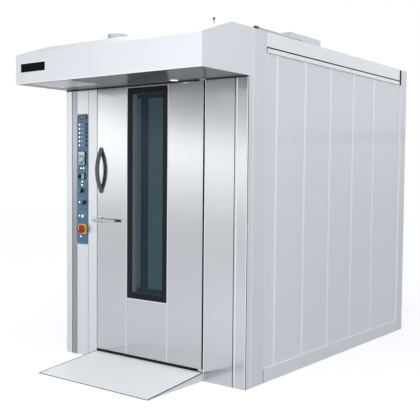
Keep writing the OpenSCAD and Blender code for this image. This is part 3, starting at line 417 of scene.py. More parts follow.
def bars(name, places, body, finish, edge=0.0006):
    """Bars with rounded edges, joined into one piece: a low corner, a high corner, and
    for a turned bar its angles."""
    made = []
    for low, high, *turned in places:
        size = [b - a for a, b in zip(low, high)]
        bpy.ops.object.select_all(action="DESELECT")
        bpy.ops.mesh.primitive_cube_add(
            size=1, location=[(a + b) / 2 for a, b in zip(low, high)], scale=size
        )
        bar = bpy.context.object
        bpy.ops.object.transform_apply(location=False, rotation=False, scale=True)
        bpy.ops.object.mode_set(mode="EDIT")
        bpy.ops.mesh.select_all(action="SELECT")
        bpy.ops.mesh.bevel(offset=min(edge, 0.3 * min(size)), segments=2)
        bpy.ops.object.mode_set(mode="OBJECT")
        if turned:
            bar.rotation_euler = turned[0]
        made.append(bar)
    return attach(joined(made), name, body, finish)


def mirrored_bars(places):
    """The bars, and the same ones on the other side of the cabinet."""
    return places + [
        ((-high[0], low[1], low[2]), (-low[0], high[1], high[2])) for low, high in places
    ]


side_paint = painted("side_paint", (0.80, 0.825, 0.86), 0.42, stain=0.05)
shell_paint = painted("shell_paint", (0.735, 0.76, 0.795), 0.40, stain=0.04)
# White paint for trims and cover strips, also used for painted highlights on folds and edges.
white_trim_and_highlight = painted("white_trim_and_highlight", (0.93, 0.94, 0.96), 0.30, stain=0.02)
# Black strips in the gaps are painted shade; the one under the side fascias is also a black seal.
painted_gap_shade = Finish("painted_gap_shade")
gap_dust = painted_gap_shade.noise(30, detail=3)
painted_gap_shade.surface(
    Base_Color=painted_gap_shade.mix(gap_dust, tone(0.010, 0.011, 0.013), tone(0.030, 0.031, 0.034)),
    Roughness=gap_dust * 0.1 + 0.75,
    Specular_IOR_Level=0.08,
)
formed("plinth", side_paint, 0.0012)
formed("outer_frame", shell_paint, 0.0014)
formed("roof_panel", shell_paint, 0.0008)

IN_X, OUT_X, FLANGE_Y = HALF_W - SUNK, HALF_W + PROUD, FRONT_Y + 0.062
SEAL_LOW, POST_TOP = FASCIA_LOW - 0.009, TOP_Z - 0.002
# The white strips at the folds, along the plinth's top ledge and over the trim under the fascias are
# painted highlights.
side_fold_highlights = [
    ((IN_X, FLANGE_Y - SUNK, CLEAR), (OUT_X, FLANGE_Y + FOLD, POST_TOP)),
    ((IN_X, PANELS_Y0 + 0.002, PLINTH_TOP - 0.005), (OUT_X, REAR_POST_Y - 0.002, PLINTH_TOP)),
    ((IN_X, PANELS_Y0 + 0.001, PLINTH_TOP), (OUT_X, PANELS_Y0 + 0.006, TRIM_LOW)),
    ((IN_X, REAR_POST_Y, PLINTH_TOP), (OUT_X, REAR_POST_Y + 0.005, POST_TOP)),
    ((HALF_W - 0.002, PANELS_Y0 + 0.002, TRIM_LOW), (OUT_X, PANELS_Y1, SEAL_LOW)),
    ((HALF_W - 0.009, REAR_POST_Y - 0.016, PLINTH_TOP), (HALF_W - 0.002, REAR_POST_Y, TRIM_LOW)),
]
bars("side_fold_highlights", mirrored_bars(side_fold_highlights), "cabinet", white_trim_and_highlight)
fascia_faces = [((IN_X, PANELS_Y0, FASCIA_LOW + 0.0004), (OUT_X, PANELS_Y1, POST_TOP))]
fascia_paint = painted("fascia_paint", (0.93, 0.95, 0.965), 0.34, stain=0.03)
bars("fascia_faces", mirrored_bars(fascia_faces), "cabinet", fascia_paint)
side_gaps = [
    ((IN_X, FRONT_Y + 0.0005, CLEAR), (OUT_X, FRONT_Y + 0.007, HOOD_LOW - CLEAR)),
    ((IN_X, PANELS_Y0 - 0.002, CLEAR), (OUT_X, PANELS_Y0 + 0.002, PLINTH_TOP - 0.006)),
    ((IN_X, PANELS_Y0 + 0.002, SEAL_LOW), (OUT_X, PANELS_Y1, FASCIA_LOW)),
    ((IN_X, PANELS_Y0 - 0.005, TRIM_LOW), (OUT_X, PANELS_Y0 + 0.002, FASCIA_LOW)),
    ((HALF_W - 0.010, PANELS_Y1, TRIM_LOW), (IN_X, REAR_POST_Y, TOP_Z - 0.004)),
]
bars("side_gaps", mirrored_bars(side_gaps), "cabinet", painted_gap_shade)

# ---- Side panels ----
# On each side four sheets of one width stand between a narrow one in front and a wide one at
# the rear. White cover strips are pressed over the joints.
PANEL_X, SHEET_T, SHEET_LOW, SHEET_TOP = HALF_W - 0.008, 0.003, 0.054, 2.320
JOINT_PITCH, STRIP_HALF = 0.3875, 0.011
joints = [FRONT_Y + 0.365 + i * JOINT_PITCH for i in range(5)]
edges = [FRONT_Y + 0.1023, *joints, REAR_POST_Y - 0.0003]
sheets = [
    ((PANEL_X - SHEET_T, y0 + 0.001, SHEET_LOW), (PANEL_X, y1 - 0.001, SHEET_TOP))
    for y0, y1 in zip(edges, edges[1:])
]
panels = bars("side_sheets", mirrored_bars(sheets), "cabinet", side_paint, 0.0010)
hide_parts("side_panels")
strips = [
    ((PANEL_X, y - STRIP_HALF, PLINTH_TOP + 0.001), (PANEL_X + SHEET_T, y + STRIP_HALF, TRIM_LOW))
    for y in joints
]
bars("cover_strips", mirrored_bars(strips), "cabinet", white_trim_and_highlight, 0.0012)

# ---- Rear panels ----
# Three sheets are screwed to the rear posts, and strips cover their joints. The middle sheet
# has two banks of pressed louvres for the burner's air.
WALL_Y, LOUVRE, SLOPE = 1.576, (0.366, 0.016, 0.026), 0.013
formed("rear_panels", side_paint, 0.0008)


def louvre():
    """A pressed hood over a slot, sloping from the sheet outwards and down."""
    bpy.ops.object.select_all(action="DESELECT")
    bpy.ops.mesh.primitive_cube_add(size=1, scale=LOUVRE)
    blade = bpy.context.object
    bpy.ops.object.transform_apply(location=False, rotation=False, scale=True)
    for vertex in blade.data.vertices:
        vertex.select = vertex.co.y > 0 and vertex.co.z > 0
    bpy.ops.object.mode_set(mode="EDIT")
    bpy.ops.transform.translate(value=(0, -SLOPE, 0))
    bpy.ops.mesh.select_all(action="SELECT")
    bpy.ops.mesh.bevel(offset=0.0016, segments=3)
    bpy.ops.object.mode_set(mode="OBJECT")
    return blade


def copies(pattern, places):
    """One piece made of copies of the pattern, each moved to its place."""
    made = []
    for place in places:
        copy = pattern.copy()
        copy.data = pattern.data.copy()
        bpy.context.scene.collection.objects.link(copy)
        copy.matrix_world = place
        made.append(copy)
    bpy.data.objects.remove(pattern)
    return joined(made)


BANKS_LOW, ROW_PITCH = (PLINTH_TOP + 0.2, 1.5), 0.06
BLADE_Y, BLADE_UP = WALL_Y + 0.006, 0.022
rows = [low + ROW_PITCH * i for low in BANKS_LOW for i in range(10)]
blades = copies(louvre(), [Matrix.Translation((0, BLADE_Y, z + BLADE_UP)) for z in rows])
attach(blades, "rear_louvres", "cabinet", side_paint)


def screws(name, places, facing, radius, body, finish):
    """Pan head screws with a round recess; their heads look along facing."""
    bpy.ops.object.select_all(action="DESELECT")
    bpy.ops.mesh.primitive_cylinder_add(vertices=14, radius=radius, depth=radius * 0.5)
    head = bpy.context.object
    for face in head.data.polygons:
        face.select = face.normal.z > 0.9
    bpy.ops.object.mode_set(mode="EDIT")
    bpy.ops.mesh.select_mode(type="FACE")
    bpy.ops.mesh.inset(thickness=radius * 0.3, depth=radius * 0.16)
    bpy.ops.mesh.inset(thickness=radius * 0.3)
    bpy.ops.mesh.inset(thickness=radius * 0.02, depth=-radius * 0.3)
    bpy.ops.object.mode_set(mode="OBJECT")
    bpy.ops.object.shade_smooth_by_angle(angle=math.radians(30))
    aim = Vector(facing).to_track_quat("Z", "Y").to_matrix().to_4x4()
    heads = copies(head, [Matrix.Translation(place) @ aim for place in places])
    attach(heads, name, body, finish)


hardware = brushed("machined_steel", (0.58, 0.59, 0.61), 0.28, ALONG_Z)
SCREW_LOW, SCREW_PITCH = 0.16, 0.29
columns = (-0.757, -0.271, -0.243, 0.243, 0.271, 0.757)
places = [(x, WALL_Y + 0.0025, SCREW_LOW + SCREW_PITCH * i) for x in columns for i in range(8)]
screws("rear_screws", places, (0, 1, 0), 0.0055, "cabinet", hardware)

# ---- Front sheets ----
# Stainless sheets with a vertical grain are folded round the door opening and seamed to the
# corner posts. The control column is one of them.
front_steel = brushed("front_steel", (0.535, 0.55, 0.57), 0.17, ALONG_Z, stain=0.03)
# A darker steel that paints the shade of a recessed fold.
fold_shade_steel = brushed("fold_shade_steel", (0.29, 0.305, 0.33), 0.20, ALONG_Z, stain=0.03)
column_steel = brushed("column_steel", (0.61, 0.63, 0.66), 0.33, ALONG_Z, stain=0.03)
formed(
    "front_columns",
    front_steel,
    0.0010,
    apart=(lambda middle: middle.x < -0.4, "control_column", column_steel),
)
formed("hinge_brackets", hardware, 0.0015)
formed("hinge_pins", hardware, 0.0008)
formed("latch_strike", hardware, 0.0012)
FOLD_Y, BEHIND_Y, FACE_PROUD = FRONT_Y - PROUD, FRONT_Y + SUNK, 0.0006


def upright_strip(x0, x1, proud=PROUD, clear=CLEAR):
    """A strip on the front that reaches from the floor to the hood."""
    return ((x0, FRONT_Y - proud, clear), (x1, BEHIND_Y, HOOD_LOW - clear))


# White strips at the front's folds are painted highlights, and black strips in its gaps are painted
# shade.
folds = (-0.8655, -0.8135, -0.5350, 0.5155, 0.7810, 0.8650)
front_fold_highlights = [upright_strip(x, x + FOLD) for x in folds]
bars("front_fold_highlights", front_fold_highlights, "cabinet", white_trim_and_highlight)
gaps = ((-0.8075, -0.8025), (-0.7510, -0.7488), (-0.6262, -0.6240), (0.7630, 0.7685))
front_gaps = [upright_strip(x0, x1) for x0, x1 in gaps]
bars("front_gaps", front_gaps, "cabinet", painted_gap_shade)
# The seam plate's darker steel is painted shade in the recessed fold. The left corner face takes the
# paler column steel, a painted highlight, as it stands in brighter light than the right one.
for name, x0, x1, finish in (
    ("seam_plate", -0.8023, -0.7510, fold_shade_steel),
    ("left_corner_face", -0.8608, -0.8137, column_steel),
    ("right_corner_face", 0.7857, 0.8648, front_steel),
):
    face = upright_strip(x0, x1, FACE_PROUD, 2 * CLEAR)
    bars(name, [face], "cabinet", finish, FINE_EDGE)

# ---- Entry ramp ----
# A folded plate with two cheeks leads a rack over the threshold. It lies loose on the floor. Thin
# black rubber strips along its side edges and its front foot are painted shade: they stand for the
# dark shade under the plate's bare edges.
ramp_steel = brushed(
    "ramp_steel", (0.83, 0.845, 0.86), 0.40, ALONG_Y, metallic=0.12, stain=0.03, depth=0.00002
)
formed("entry_ramp", ramp_steel, 0.0012)
rubber = Finish("seal_rubber")
rubber.surface(
    Base_Color=tone(0.020, 0.020, 0.022),
    Roughness=0.75,
    Normal=rubber.bump(rubber.noise(500, detail=2), 0.0002),
)
RAMP_X0, RAMP_X1, RAMP_RUN, RAMP_RISE, RAMP_T = -0.530, 0.511, 0.5695, 0.056, 0.003
EDGE_SHADE_HALF, EDGE_SHADE_T, EDGE_SHADE_DROP = 0.0040, 0.0040, 0.0028
slope = math.atan2(RAMP_RISE, RAMP_RUN)
length = math.hypot(RAMP_RUN, RAMP_RISE)
side_y = FRONT_Y - 0.0005 - RAMP_RUN / 2
side_z = RAMP_T + RAMP_RISE / 2 - EDGE_SHADE_DROP
# Black strips along the plate's edges, painted shade under them.
edge_shade = [
    (
        (x - EDGE_SHADE_HALF, side_y - length / 2 + 0.003, side_z),
        (x + EDGE_SHADE_HALF, side_y + length / 2, side_z + EDGE_SHADE_T),
        (slope, 0, 0),
    )
    for x in (RAMP_X0, RAMP_X1)
]
foot_y, foot_z = -1.5815, 0.0002
edge_shade.append(((RAMP_X0, foot_y, foot_z), (RAMP_X1, foot_y + EDGE_SHADE_T, foot_z + EDGE_SHADE_T)))
bars("ramp_edge_shade", edge_shade, "cabinet", rubber, 0.001)

# ---- Hood ----
# The shell is folded from painted sheet, closed below by a plain steel sheet with the steam grille
# and a round lamp let into it. That sheet is coloured very dark, painted shade under the hood. A
# blank plate is fixed to its face.
hood_paint = painted("hood_paint", (0.775, 0.795, 0.82), 0.34, stain=0.03)
formed("hood_shell", hood_paint, 0.0020, 3)
# The underside's very dark colour is painted shade.
hood_inside_painted_shade = Finish("hood_inside_painted_shade")
haze = hood_inside_painted_shade.noise(6, detail=3)
hood_inside_painted_shade.surface(
    Base_Color=hood_inside_painted_shade.mix(haze, tone(0.12, 0.125, 0.13), tone(0.17, 0.175, 0.18)),
    Metallic=0.10,
    Roughness=haze * 0.10 + 0.24,
    Specular_IOR_Level=0.10,
)
zinc = Finish("zinc_sheet")
spangle = zinc.node("TexVoronoi", inputs={"Vector": zinc.node("TexCoord", output=3), "Scale": 60})
zinc.surface(
    Base_Color=zinc.mix(spangle, tone(0.38, 0.40, 0.42), tone(0.50, 0.52, 0.54)),
    Metallic=0.4,
    Roughness=spangle * 0.15 + 0.35,
    Normal=zinc.bump(zinc.noise(200, detail=2), 0.00004),
)
grille_steel = brushed("grille_steel", (0.72, 0.74, 0.76), 0.30, ALONG_X, metallic=0.5)
formed(
    "hood_underside",
    hood_inside_painted_shade,
    0.0008,
    apart=(lambda middle: middle.x < -0.3, "steam_grille", grille_steel),
)
HOOD_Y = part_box("hood_shell")[0].y
# A white strip along the hood's lower edge is a painted highlight of its lip, and black strips on
# the front just under the hood are painted shade in the gap.
hem = ((-IN_X, HOOD_Y - PROUD, HOOD_LOW), (IN_X, HOOD_Y + SUNK, HOOD_LOW + 0.006))
bars("hood_hem_highlight", [hem], "cabinet", white_trim_and_highlight)
top_gap = ((0.5165, FOLD_Y - 0.0005, HOOD_LOW - 0.009), (IN_X, BEHIND_Y, HOOD_LOW - 0.0005))
bars("hood_gaps", mirrored_bars([top_gap]), "cabinet", painted_gap_shade)
PLATE_X0, PLATE_X1, PLATE_Z0, PLATE_Z1 = -0.810, -0.547, 2.168, 2.230
BORDER, BACKING_Y, PLATE_T = 0.005, HOOD_Y - 0.0010, 0.0012
backing = (
    (PLATE_X0 - BORDER, BACKING_Y, PLATE_Z0 - BORDER),
    (PLATE_X1 + BORDER, HOOD_Y, PLATE_Z1 + BORDER),
)
bars("plate_backing", [backing], "cabinet", white_trim_and_highlight, FINE_EDGE)
plate_black = Finish("plate_black")
plate_dust = plate_black.noise(25)
plate_black.surface(
    Base_Color=plate_black.mix(plate_dust, tone(0.002, 0.002, 0.003), tone(0.005, 0.005, 0.006)),
    Roughness=plate_dust * 0.2 + 0.45,
    Specular_IOR_Level=0.03,
)
blank = ((PLATE_X0, BACKING_Y - PLATE_T, PLATE_Z0), (PLATE_X1, BACKING_Y, PLATE_Z1))
bars("blank_plate", [blank], "cabinet", plate_black, 0.0005)

# ---- Roof ----
# A zinc coated flue box stands on the roof, and a collar for the steam and a slim cable gland
# on the hood. A corrugated conduit lies along the roof's edge from a black connector to the box.
formed("flue_box", zinc, 0.0015)
formed("exhaust_collar", zinc, 0.0010)


def grown(profile, place, facing, vertices):
    """A round piece grown from a disc; each step of the profile is a radius and a height."""
    (radius, level), *steps = profile
    bpy.ops.object.select_all(action="DESELECT")
    bpy.ops.mesh.primitive_circle_add(
        vertices=vertices, radius=radius, fill_type="NGON", location=(0, 0, level)
    )
    piece = bpy.context.object
    bpy.ops.object.transform_apply(location=True, rotation=False, scale=False)
    bpy.ops.object.mode_set(mode="EDIT")
    bpy.ops.mesh.select_mode(type="FACE")
    bpy.ops.mesh.select_all(action="SELECT")
    for new_radius, new_level in steps:
        bpy.ops.mesh.extrude_region_move(
            TRANSFORM_OT_translate={"value": (0, 0, new_level - level)}
        )
        ratio = new_radius / radius
        bpy.ops.transform.resize(value=(ratio, ratio, 1))
        radius, level = new_radius, new_level
    bpy.ops.object.mode_set(mode="OBJECT")
    bpy.ops.object.shade_smooth_by_angle(angle=SMOOTH)
    aim = Vector(facing).to_track_quat("Z", "Y").to_matrix().to_4x4()
    piece.matrix_world = Matrix.Translation(place) @ aim
    return piece


# The conduit's radius is CONDUIT_R on its ripples, and NARROW times that between them
ROOF_Z, CONDUIT_R, BEND_R, RIPPLES, NARROW = 2.397, 0.014, 0.030, 56, 0.84
conduit_z = ROOF_Z + CONDUIT_R + 0.0023
conduit_x, conduit_y0, conduit_y1 = HALF_W - 0.034, FRONT_Y + 0.150, FRONT_Y + 0.721
route = [(conduit_x, conduit_y0, conduit_z), (conduit_x, conduit_y1, conduit_z)]
for i in range(1, 11):
    angle = math.radians(9 * i)
    route.append(
        (
            conduit_x - BEND_R + BEND_R * math.cos(angle),
            conduit_y1 + BEND_R * math.sin(angle),
            conduit_z,
        )
    )
path_data = bpy.data.curves.new("conduit_route", "CURVE")
path_data.dimensions = "3D"
spline = path_data.splines.new("POLY")
spline.points.add(len(route) - 1)
for point, place in zip(spline.points, route):
    point.co = (*place, 1)
path = bpy.data.objects.new("conduit_route", path_data)
bpy.context.scene.collection.objects.link(path)
run = conduit_y1 - conduit_y0 + BEND_R * math.pi / 2
step = run / RIPPLES
bpy.ops.object.select_all(action="DESELECT")
bpy.ops.mesh.primitive_cylinder_add(
    vertices=18,
    radius=CONDUIT_R * NARROW,
    depth=step,
    end_fill_type="NOTHING",
    location=(0, 0, step / 2),
)
conduit = bpy.context.object
bpy.ops.object.transform_apply(location=True, rotation=False, scale=False)
for edge in conduit.data.edges:
    a, b = (conduit.data.vertices[i].co.z for i in edge.vertices)
    edge.select = abs(a - b) > step / 2
bpy.ops.object.mode_set(mode="EDIT")
bpy.ops.mesh.select_mode(type="EDGE")
bpy.ops.mesh.subdivide(number_cuts=3)
bpy.ops.object.mode_set(mode="OBJECT")
for vertex in conduit.data.vertices:
    vertex.select = 0.2 * step < vertex.co.z < 0.8 * step
bpy.ops.object.mode_set(mode="EDIT")
bpy.ops.mesh.select_mode(type="VERT")
bpy.ops.transform.resize(value=(1 / NARROW, 1 / NARROW, 1))
bpy.ops.object.mode_set(mode="OBJECT")
repeat = conduit.modifiers.new("ripples", "ARRAY")
repeat.count = RIPPLES
repeat.relative_offset_displace = (0, 0, 1)
repeat.use_merge_vertices = True
repeat.merge_threshold = 0.0002
bend = conduit.modifiers.new("route", "CURVE")
bend.object = path
bend.deform_axis = "POS_Z"
bpy.ops.object.modifier_apply(modifier="ripples")
bpy.ops.object.modifier_apply(modifier="route")
bpy.ops.object.mode_set(mode="EDIT")
bpy.ops.mesh.select_all(action="DESELECT")
bpy.ops.mesh.select_non_manifold()
bpy.ops.mesh.edge_face_add()
bpy.ops.mesh.select_all(action="SELECT")
bpy.ops.mesh.normals_make_consistent(inside=False)
bpy.ops.object.mode_set(mode="OBJECT")
bpy.ops.object.shade_smooth_by_angle(angle=math.radians(50))
bpy.data.objects.remove(path)
conduit_grey = painted("conduit_grey", (0.52, 0.53, 0.55), 0.45, texture=500)
attach(conduit, "corrugated_conduit", "cabinet", conduit_grey)
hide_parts("roof_conduit")
dark_plastic = Finish("dark_plastic")
dark_plastic.surface(
    Base_Color=tone(0.014, 0.014, 0.016),
    Roughness=dark_plastic.noise(60) * 0.2 + 0.32,
    Specular_IOR_Level=0.35,
    Normal=dark_plastic.bump(dark_plastic.noise(1500, detail=1), 0.00003),
)
PLUG_HALF, PLUG_H = 0.012, 0.030
plug = (
    (conduit_x - PLUG_HALF, FRONT_Y + 0.116, ROOF_Z),
    (conduit_x + PLUG_HALF, conduit_y0, ROOF_Z + PLUG_H),
)
bars("conduit_connector", [plug], "cabinet", dark_plastic, 0.004)
FLUE_BOX_X, NUT_T = 0.800, 0.007
nut = grown(
    [(0.013, 0), (0.016, 0.001), (0.016, 0.006), (0.0135, NUT_T)],
    (FLUE_BOX_X + NUT_T, conduit_y1 + BEND_R, conduit_z),
    (-1, 0, 0),
    vertices=6,
)
attach(nut, "conduit_nut", "cabinet", hardware)
GLAND = (0.660, FRONT_Y - 0.100, TOP_Z)
gland_body = grown(
    [(0.011, 0), (0.012, 0.001), (0.012, 0.005), (0.011, 0.006), (0.006, 0.006), (0.006, 0.052)],
    GLAND,
    (0, 0, 1),
    vertices=18,
)
attach(gland_body, "gland_body", "cabinet", conduit_grey)
gland_head = grown(
    [
        (0.0068, 0.050),
        (0.0078, 0.051),
        (0.0078, 0.062),
        (0.0060, 0.065),
        (0.0046, 0.065),
        (0.0044, 0.056),
    ],
    GLAND,
    (0, 0, 1),
    vertices=18,
)
attach(gland_head, "gland_head", "cabinet", dark_plastic)

# ---- Control panel ----
# A blue enamelled plate is screwed to the column. It carries the controller's display, signal
# lamps and keys, a timer, a temperature display, four rotary switches and the main switch.
DIAL_X, PANEL_LOW, PANEL_Y = -0.6875, 0.880, FRONT_Y - 0.003
# Printed marks are this thick, and most of their lines this wide
PRINT, STROKE = 0.00025, 0.0022
panel_blue = painted("panel_blue", (0.056, 0.152, 0.250), 0.42, stain=0.14)
formed("control_panel", panel_blue, 0.0008)
formed("control_displays", dark_plastic, 0.0015, 3)
lens = clouded(
    "signal_lens",
    (0.80, 0.87, 0.92),
    (0.94, 0.97, 1.0),
    0.18,
    glow=(0.80, 0.92, 1.0),
    strength=0.9,
    gloss=0.5,
)
formed("indicator_lamps", lens, 0.0010, 3)
chrome = Finish("polished_chrome")
smudge = chrome.noise(9, detail=4)
chrome.surface(
    Base_Color=chrome.mix(smudge, tone(0.74, 0.75, 0.76), tone(0.84, 0.85, 0.86)),
    Metallic=1.0,
    Roughness=smudge * 0.10 + 0.10,
)
places = [(x, PANEL_Y - 0.0005, z) for x in (-0.7425, -0.6325) for z in (1.8885, 1.39, 0.8865)]
screws("panel_screws", places, (0, -1, 0), 0.0026, "cabinet", chrome)
print_white = clouded("print_white", (0.68, 0.75, 0.80), (0.80, 0.85, 0.88), 0.5)


def label(name, places, depth, body, slot, finish):
    """Printed marks on a face at this depth: each has x, z, width, height and a turn."""
    marks = [
        (
            (x - width / 2, depth - PRINT, z - tall / 2),
            (x + width / 2, depth, z + tall / 2),
            (0, math.radians(angle), 0),
        )
        for x, z, width, tall, angle in places
    ]
    bars(name, marks, body, finish)


SEGMENTS = {"0": "abcdef", "1": "bc", "2": "abged", "3": "abgcd", "5": "afgcd", "8": "abcdefg"}


def digits(text, left, middle, width, tall, stroke):
    """Seven segment figures as marks for a label."""
    half = tall / 2
    bar = {
        "a": (0, half, 1), "d": (0, -half, 1), "g": (0, 0, 1),
        "b": (1, half / 2, 0), "c": (1, -half / 2, 0),
        "e": (-1, -half / 2, 0), "f": (-1, half / 2, 0),
    }
    marks = []
    for i, figure in enumerate(text):
        x = left + width * (1.6 * i + 0.5)
        for letter in SEGMENTS[figure]:
            side, z, flat = bar[letter]
            size = (width - stroke, stroke) if flat else (stroke, half - stroke)
            marks.append((x + side * width / 2, middle + z, *size, 0))
    return marks


display_y = PANEL_Y - 0.006
glow_blue = clouded(
    "display_glow",
    (0.26, 0.38, 0.42),
    (0.34, 0.46, 0.50),
    0.4,
    glow=(0.55, 0.80, 0.85),
    strength=0.10,
)
window_black = clouded("display_black", (0.004, 0.007, 0.010), (0.010, 0.014, 0.018), 0.15)
DISPLAY_X, DISPLAY_Z = -0.6815, 1.869
label(
    "display_window",
    [(DISPLAY_X, DISPLAY_Z, 0.074, 0.022, 0)],
    display_y,
    "cabinet",
    "black_plastic",
    window_black,
)
label(
    "display_figures",
    digits("2305", DISPLAY_X - 0.033, DISPLAY_Z, 0.0105, 0.0155, 0.0024),
    display_y - PRINT,
    "cabinet",
    "lens_white",
    glow_blue,
)
KEY_TOP, KEY_PITCH, KNOB_SHIFT = 1.814, 0.0322, 0.024
key_rows = [KEY_TOP - KEY_PITCH * i for i in range(6)]
marks = []
for z in key_rows:
    marks += [
        (-0.690, z + 0.003, 0.018, STROKE, 0),
        (-0.693, z - 0.004, 0.012, STROKE, 0),
        (-0.671, z, 0.006, 0.0018, 0),
    ]
fan_z, light_z, steam_z, key_z = 1.411, 1.301, PANEL_LOW + 0.328, PANEL_LOW + 0.222
knob_places = [
    (DIAL_X - KNOB_SHIFT, fan_z),
    (DIAL_X, light_z),
    (DIAL_X + KNOB_SHIFT, steam_z),
    (DIAL_X + KNOB_SHIFT, key_z),
]
# A ring of ticks round each knob, left open where it would pass the panel's edge
RING_R, RING_END_X = 0.0225, -0.633
for x, z in knob_places:
    for angle in range(-120, 121, 40):
        turned = math.radians(angle)
        tick_x = x + RING_R * math.sin(turned)
        if tick_x < RING_END_X:
            marks.append((tick_x, z + RING_R * math.cos(turned), 0.0014, 0.0045, angle))
marks += [
    (DIAL_X - 0.022, fan_z - 0.050, 0.014, STROKE, 0),
    (DIAL_X + 0.018, light_z + 0.028, 0.014, STROKE, 0),
    (DIAL_X - 0.012, steam_z + 0.030, 0.016, STROKE, 0),
    (DIAL_X - 0.012, key_z + 0.030, 0.016, STROKE, 0),
]
label("panel_marks", marks, PANEL_Y, "cabinet", "lens_white", print_white)

# ---- Push keys ----
# Six dark caps, each with a light bar, travel in square holes of the panel.
key_plastic = Finish("key_plastic")
key_plastic.surface(
    Base_Color=tone(0.006, 0.008, 0.014),
    Roughness=key_plastic.noise(80) * 0.15 + 0.40,
    Specular_IOR_Level=0.2,
)
for number, z in enumerate(key_rows, start=1):
    formed(f"key_{number}", key_plastic, 0.0016, 3)
    label(
        f"key_mark_{number}",
        [(-0.6515, z, STROKE, 0.008, 0)],
        PANEL_Y - 0.004,
        f"key_{number}",
        "lens_white",
        print_white,
    )

# ---- Timer and temperature display ----
# The timer has a pale face with two white windows over a dark round scale, and a pale knob with
# a black line. The temperature display beside the fan switch is a pale liquid crystal window.
TIMER_Z, TICK_R = 1.542, 0.0285
timer_y, scale_z = PANEL_Y - 0.012, TIMER_Z - 0.001
face_grey = painted("timer_face", (0.42, 0.52, 0.53), 0.45, texture=600)
label(
    "timer_plate",
    [(DIAL_X, TIMER_Z + 0.010, 0.070, 0.100, 0)],
    timer_y,
    "cabinet",
    "lens_white",
    face_grey,
)
squares = [(DIAL_X + x, TIMER_Z + 0.0475, 0.028, 0.018, 0) for x in (-0.0165, 0.0165)]
label("timer_windows", squares, timer_y - PRINT, "cabinet", "lens_white", print_white)
scale_disc = grown(
    [(0.0335, 0), (0.0338, 0.0001), (0.0335, PRINT)],
    (DIAL_X, timer_y - PRINT * 0.9, scale_z),
    (0, -1, 0),
    vertices=48,
)
scale_grey = painted("scale_grey", (0.13, 0.19, 0.21), 0.45, texture=600)
attach(scale_disc, "timer_scale", "cabinet", scale_grey)
ticks = []
for i in range(25):
    angle = -150 + 12.5 * i
    turned = math.radians(angle)
    x, z = TICK_R * math.sin(turned), TICK_R * math.cos(turned)
    ticks.append((DIAL_X + x, scale_z + z, 0.0016, 0.0085 if i % 4 == 0 else 0.005, angle))
label("timer_ticks", ticks, timer_y - 1.9 * PRINT, "cabinet", "lens_white", print_white)
pale_plastic = painted("pale_plastic", (0.66, 0.72, 0.73), 0.40)
formed("timer_dial", pale_plastic, 0.0014, 3)
label(
    "timer_pointer",
    [(DIAL_X, TIMER_Z + 0.004, 0.0030, 0.020, 0)],
    timer_y - 0.012,
    "timer_dial",
    "black_plastic",
    window_black,
)
meter_y = PANEL_Y - 0.011
crystal = clouded("liquid_crystal", (0.38, 0.48, 0.43), (0.46, 0.56, 0.51), 0.22)
label(
    "meter_window",
    [(DIAL_X + 0.014, fan_z, 0.027, 0.040, 0)],
    meter_y,
    "cabinet",
    "lens_white",
    crystal,
)
reading = digits("230", DIAL_X + 0.0035, fan_z + 0.010, 0.0045, 0.010, 0.0012)
reading += digits("185", DIAL_X + 0.0035, fan_z - 0.008, 0.0045, 0.010, 0.0012)
label("meter_figures", reading, meter_y - PRINT, "cabinet", "black_plastic", window_black)

# ---- Rotary switches and main switch ----
# Black knobs with a white line on the grip, a chromed key switch, and a red handle on a yellow
# housing.
yellow = painted("switch_yellow", (0.76, 0.47, 0.03), 0.34, texture=1200)
formed("main_switch_box", yellow, 0.0030, 3)
red = painted("switch_red", (0.34, 0.016, 0.026), 0.30, texture=1200)
formed("main_switch_knob", red, 0.0030, 3)
SWITCH_X, SWITCH_Z = DIAL_X + 0.010, PANEL_LOW + 0.120
figures = digits("1", SWITCH_X - 0.034, SWITCH_Z + 0.032, 0.004, 0.007, 0.0013)
figures += digits("0", SWITCH_X + 0.028, SWITCH_Z + 0.032, 0.004, 0.007, 0.0013)
housing_y, grip_out = PANEL_Y - 0.013, 0.036
label("switch_figures", figures, housing_y, "cabinet", "black_plastic", window_black)
label(
    "switch_pointer",
    [(SWITCH_X, SWITCH_Z + 0.012, 0.005, 0.028, 0)],
    housing_y - grip_out,
    "main_switch_knob",
    "lens_white",
    print_white,
)
for node, (x, z), out in zip(
    ("fan_knob", "light_knob", "steam_knob", "key_switch"), knob_places, (0.024, 0.024, 0.024, 0.028)
):
    formed(node, chrome if node == "key_switch" else dark_plastic, 0.0014, 3)
    label(
        node + "_pointer",
        [(x, z + 0.006, 0.0024, 0.014, 0)],
        PANEL_Y - out,
        node,
        "black_plastic" if node == "key_switch" else "lens_white",
        window_black if node == "key_switch" else print_white,
    )
coat("electrical_box", zinc)

# ---- Door leaf ----
# Four stainless sheets and a black bordered window are fixed over an insulated tray. White strips
# beside the window bay and under its sill are painted highlights of the sheets' folded edges. A
# gasket and a wiper seal the leaf.
door_steel = brushed("door_steel", (0.505, 0.52, 0.54), 0.15, ALONG_Z, stain=0.03)
formed("door_sheets", door_steel, 0.0008)
DOOR_LOW, DOOR_TOP, BAY_X0, BAY_X1, SILL_Z = 0.080, 2.075, -0.210, 0.180, 0.507
HEM_HALF, HEM_OUT = 0.0024, 0.0034
hems = [
    ((x - HEM_HALF, FOLD_Y, DOOR_LOW + 0.002), (x + HEM_HALF, BEHIND_Y, DOOR_TOP - 0.002))
    for x in (BAY_X0 - HEM_OUT, BAY_X1 + HEM_OUT)
]
hems.append(
    ((BAY_X0 + 0.001, FOLD_Y, SILL_Z - 0.005), (BAY_X1 - 0.001, BEHIND_Y, SILL_Z - 0.0004))
)
bars("door_hem_highlights", hems, "door", white_trim_and_highlight)
coat("door_inner_tray", inner_steel)
border_black = Finish("border_black")
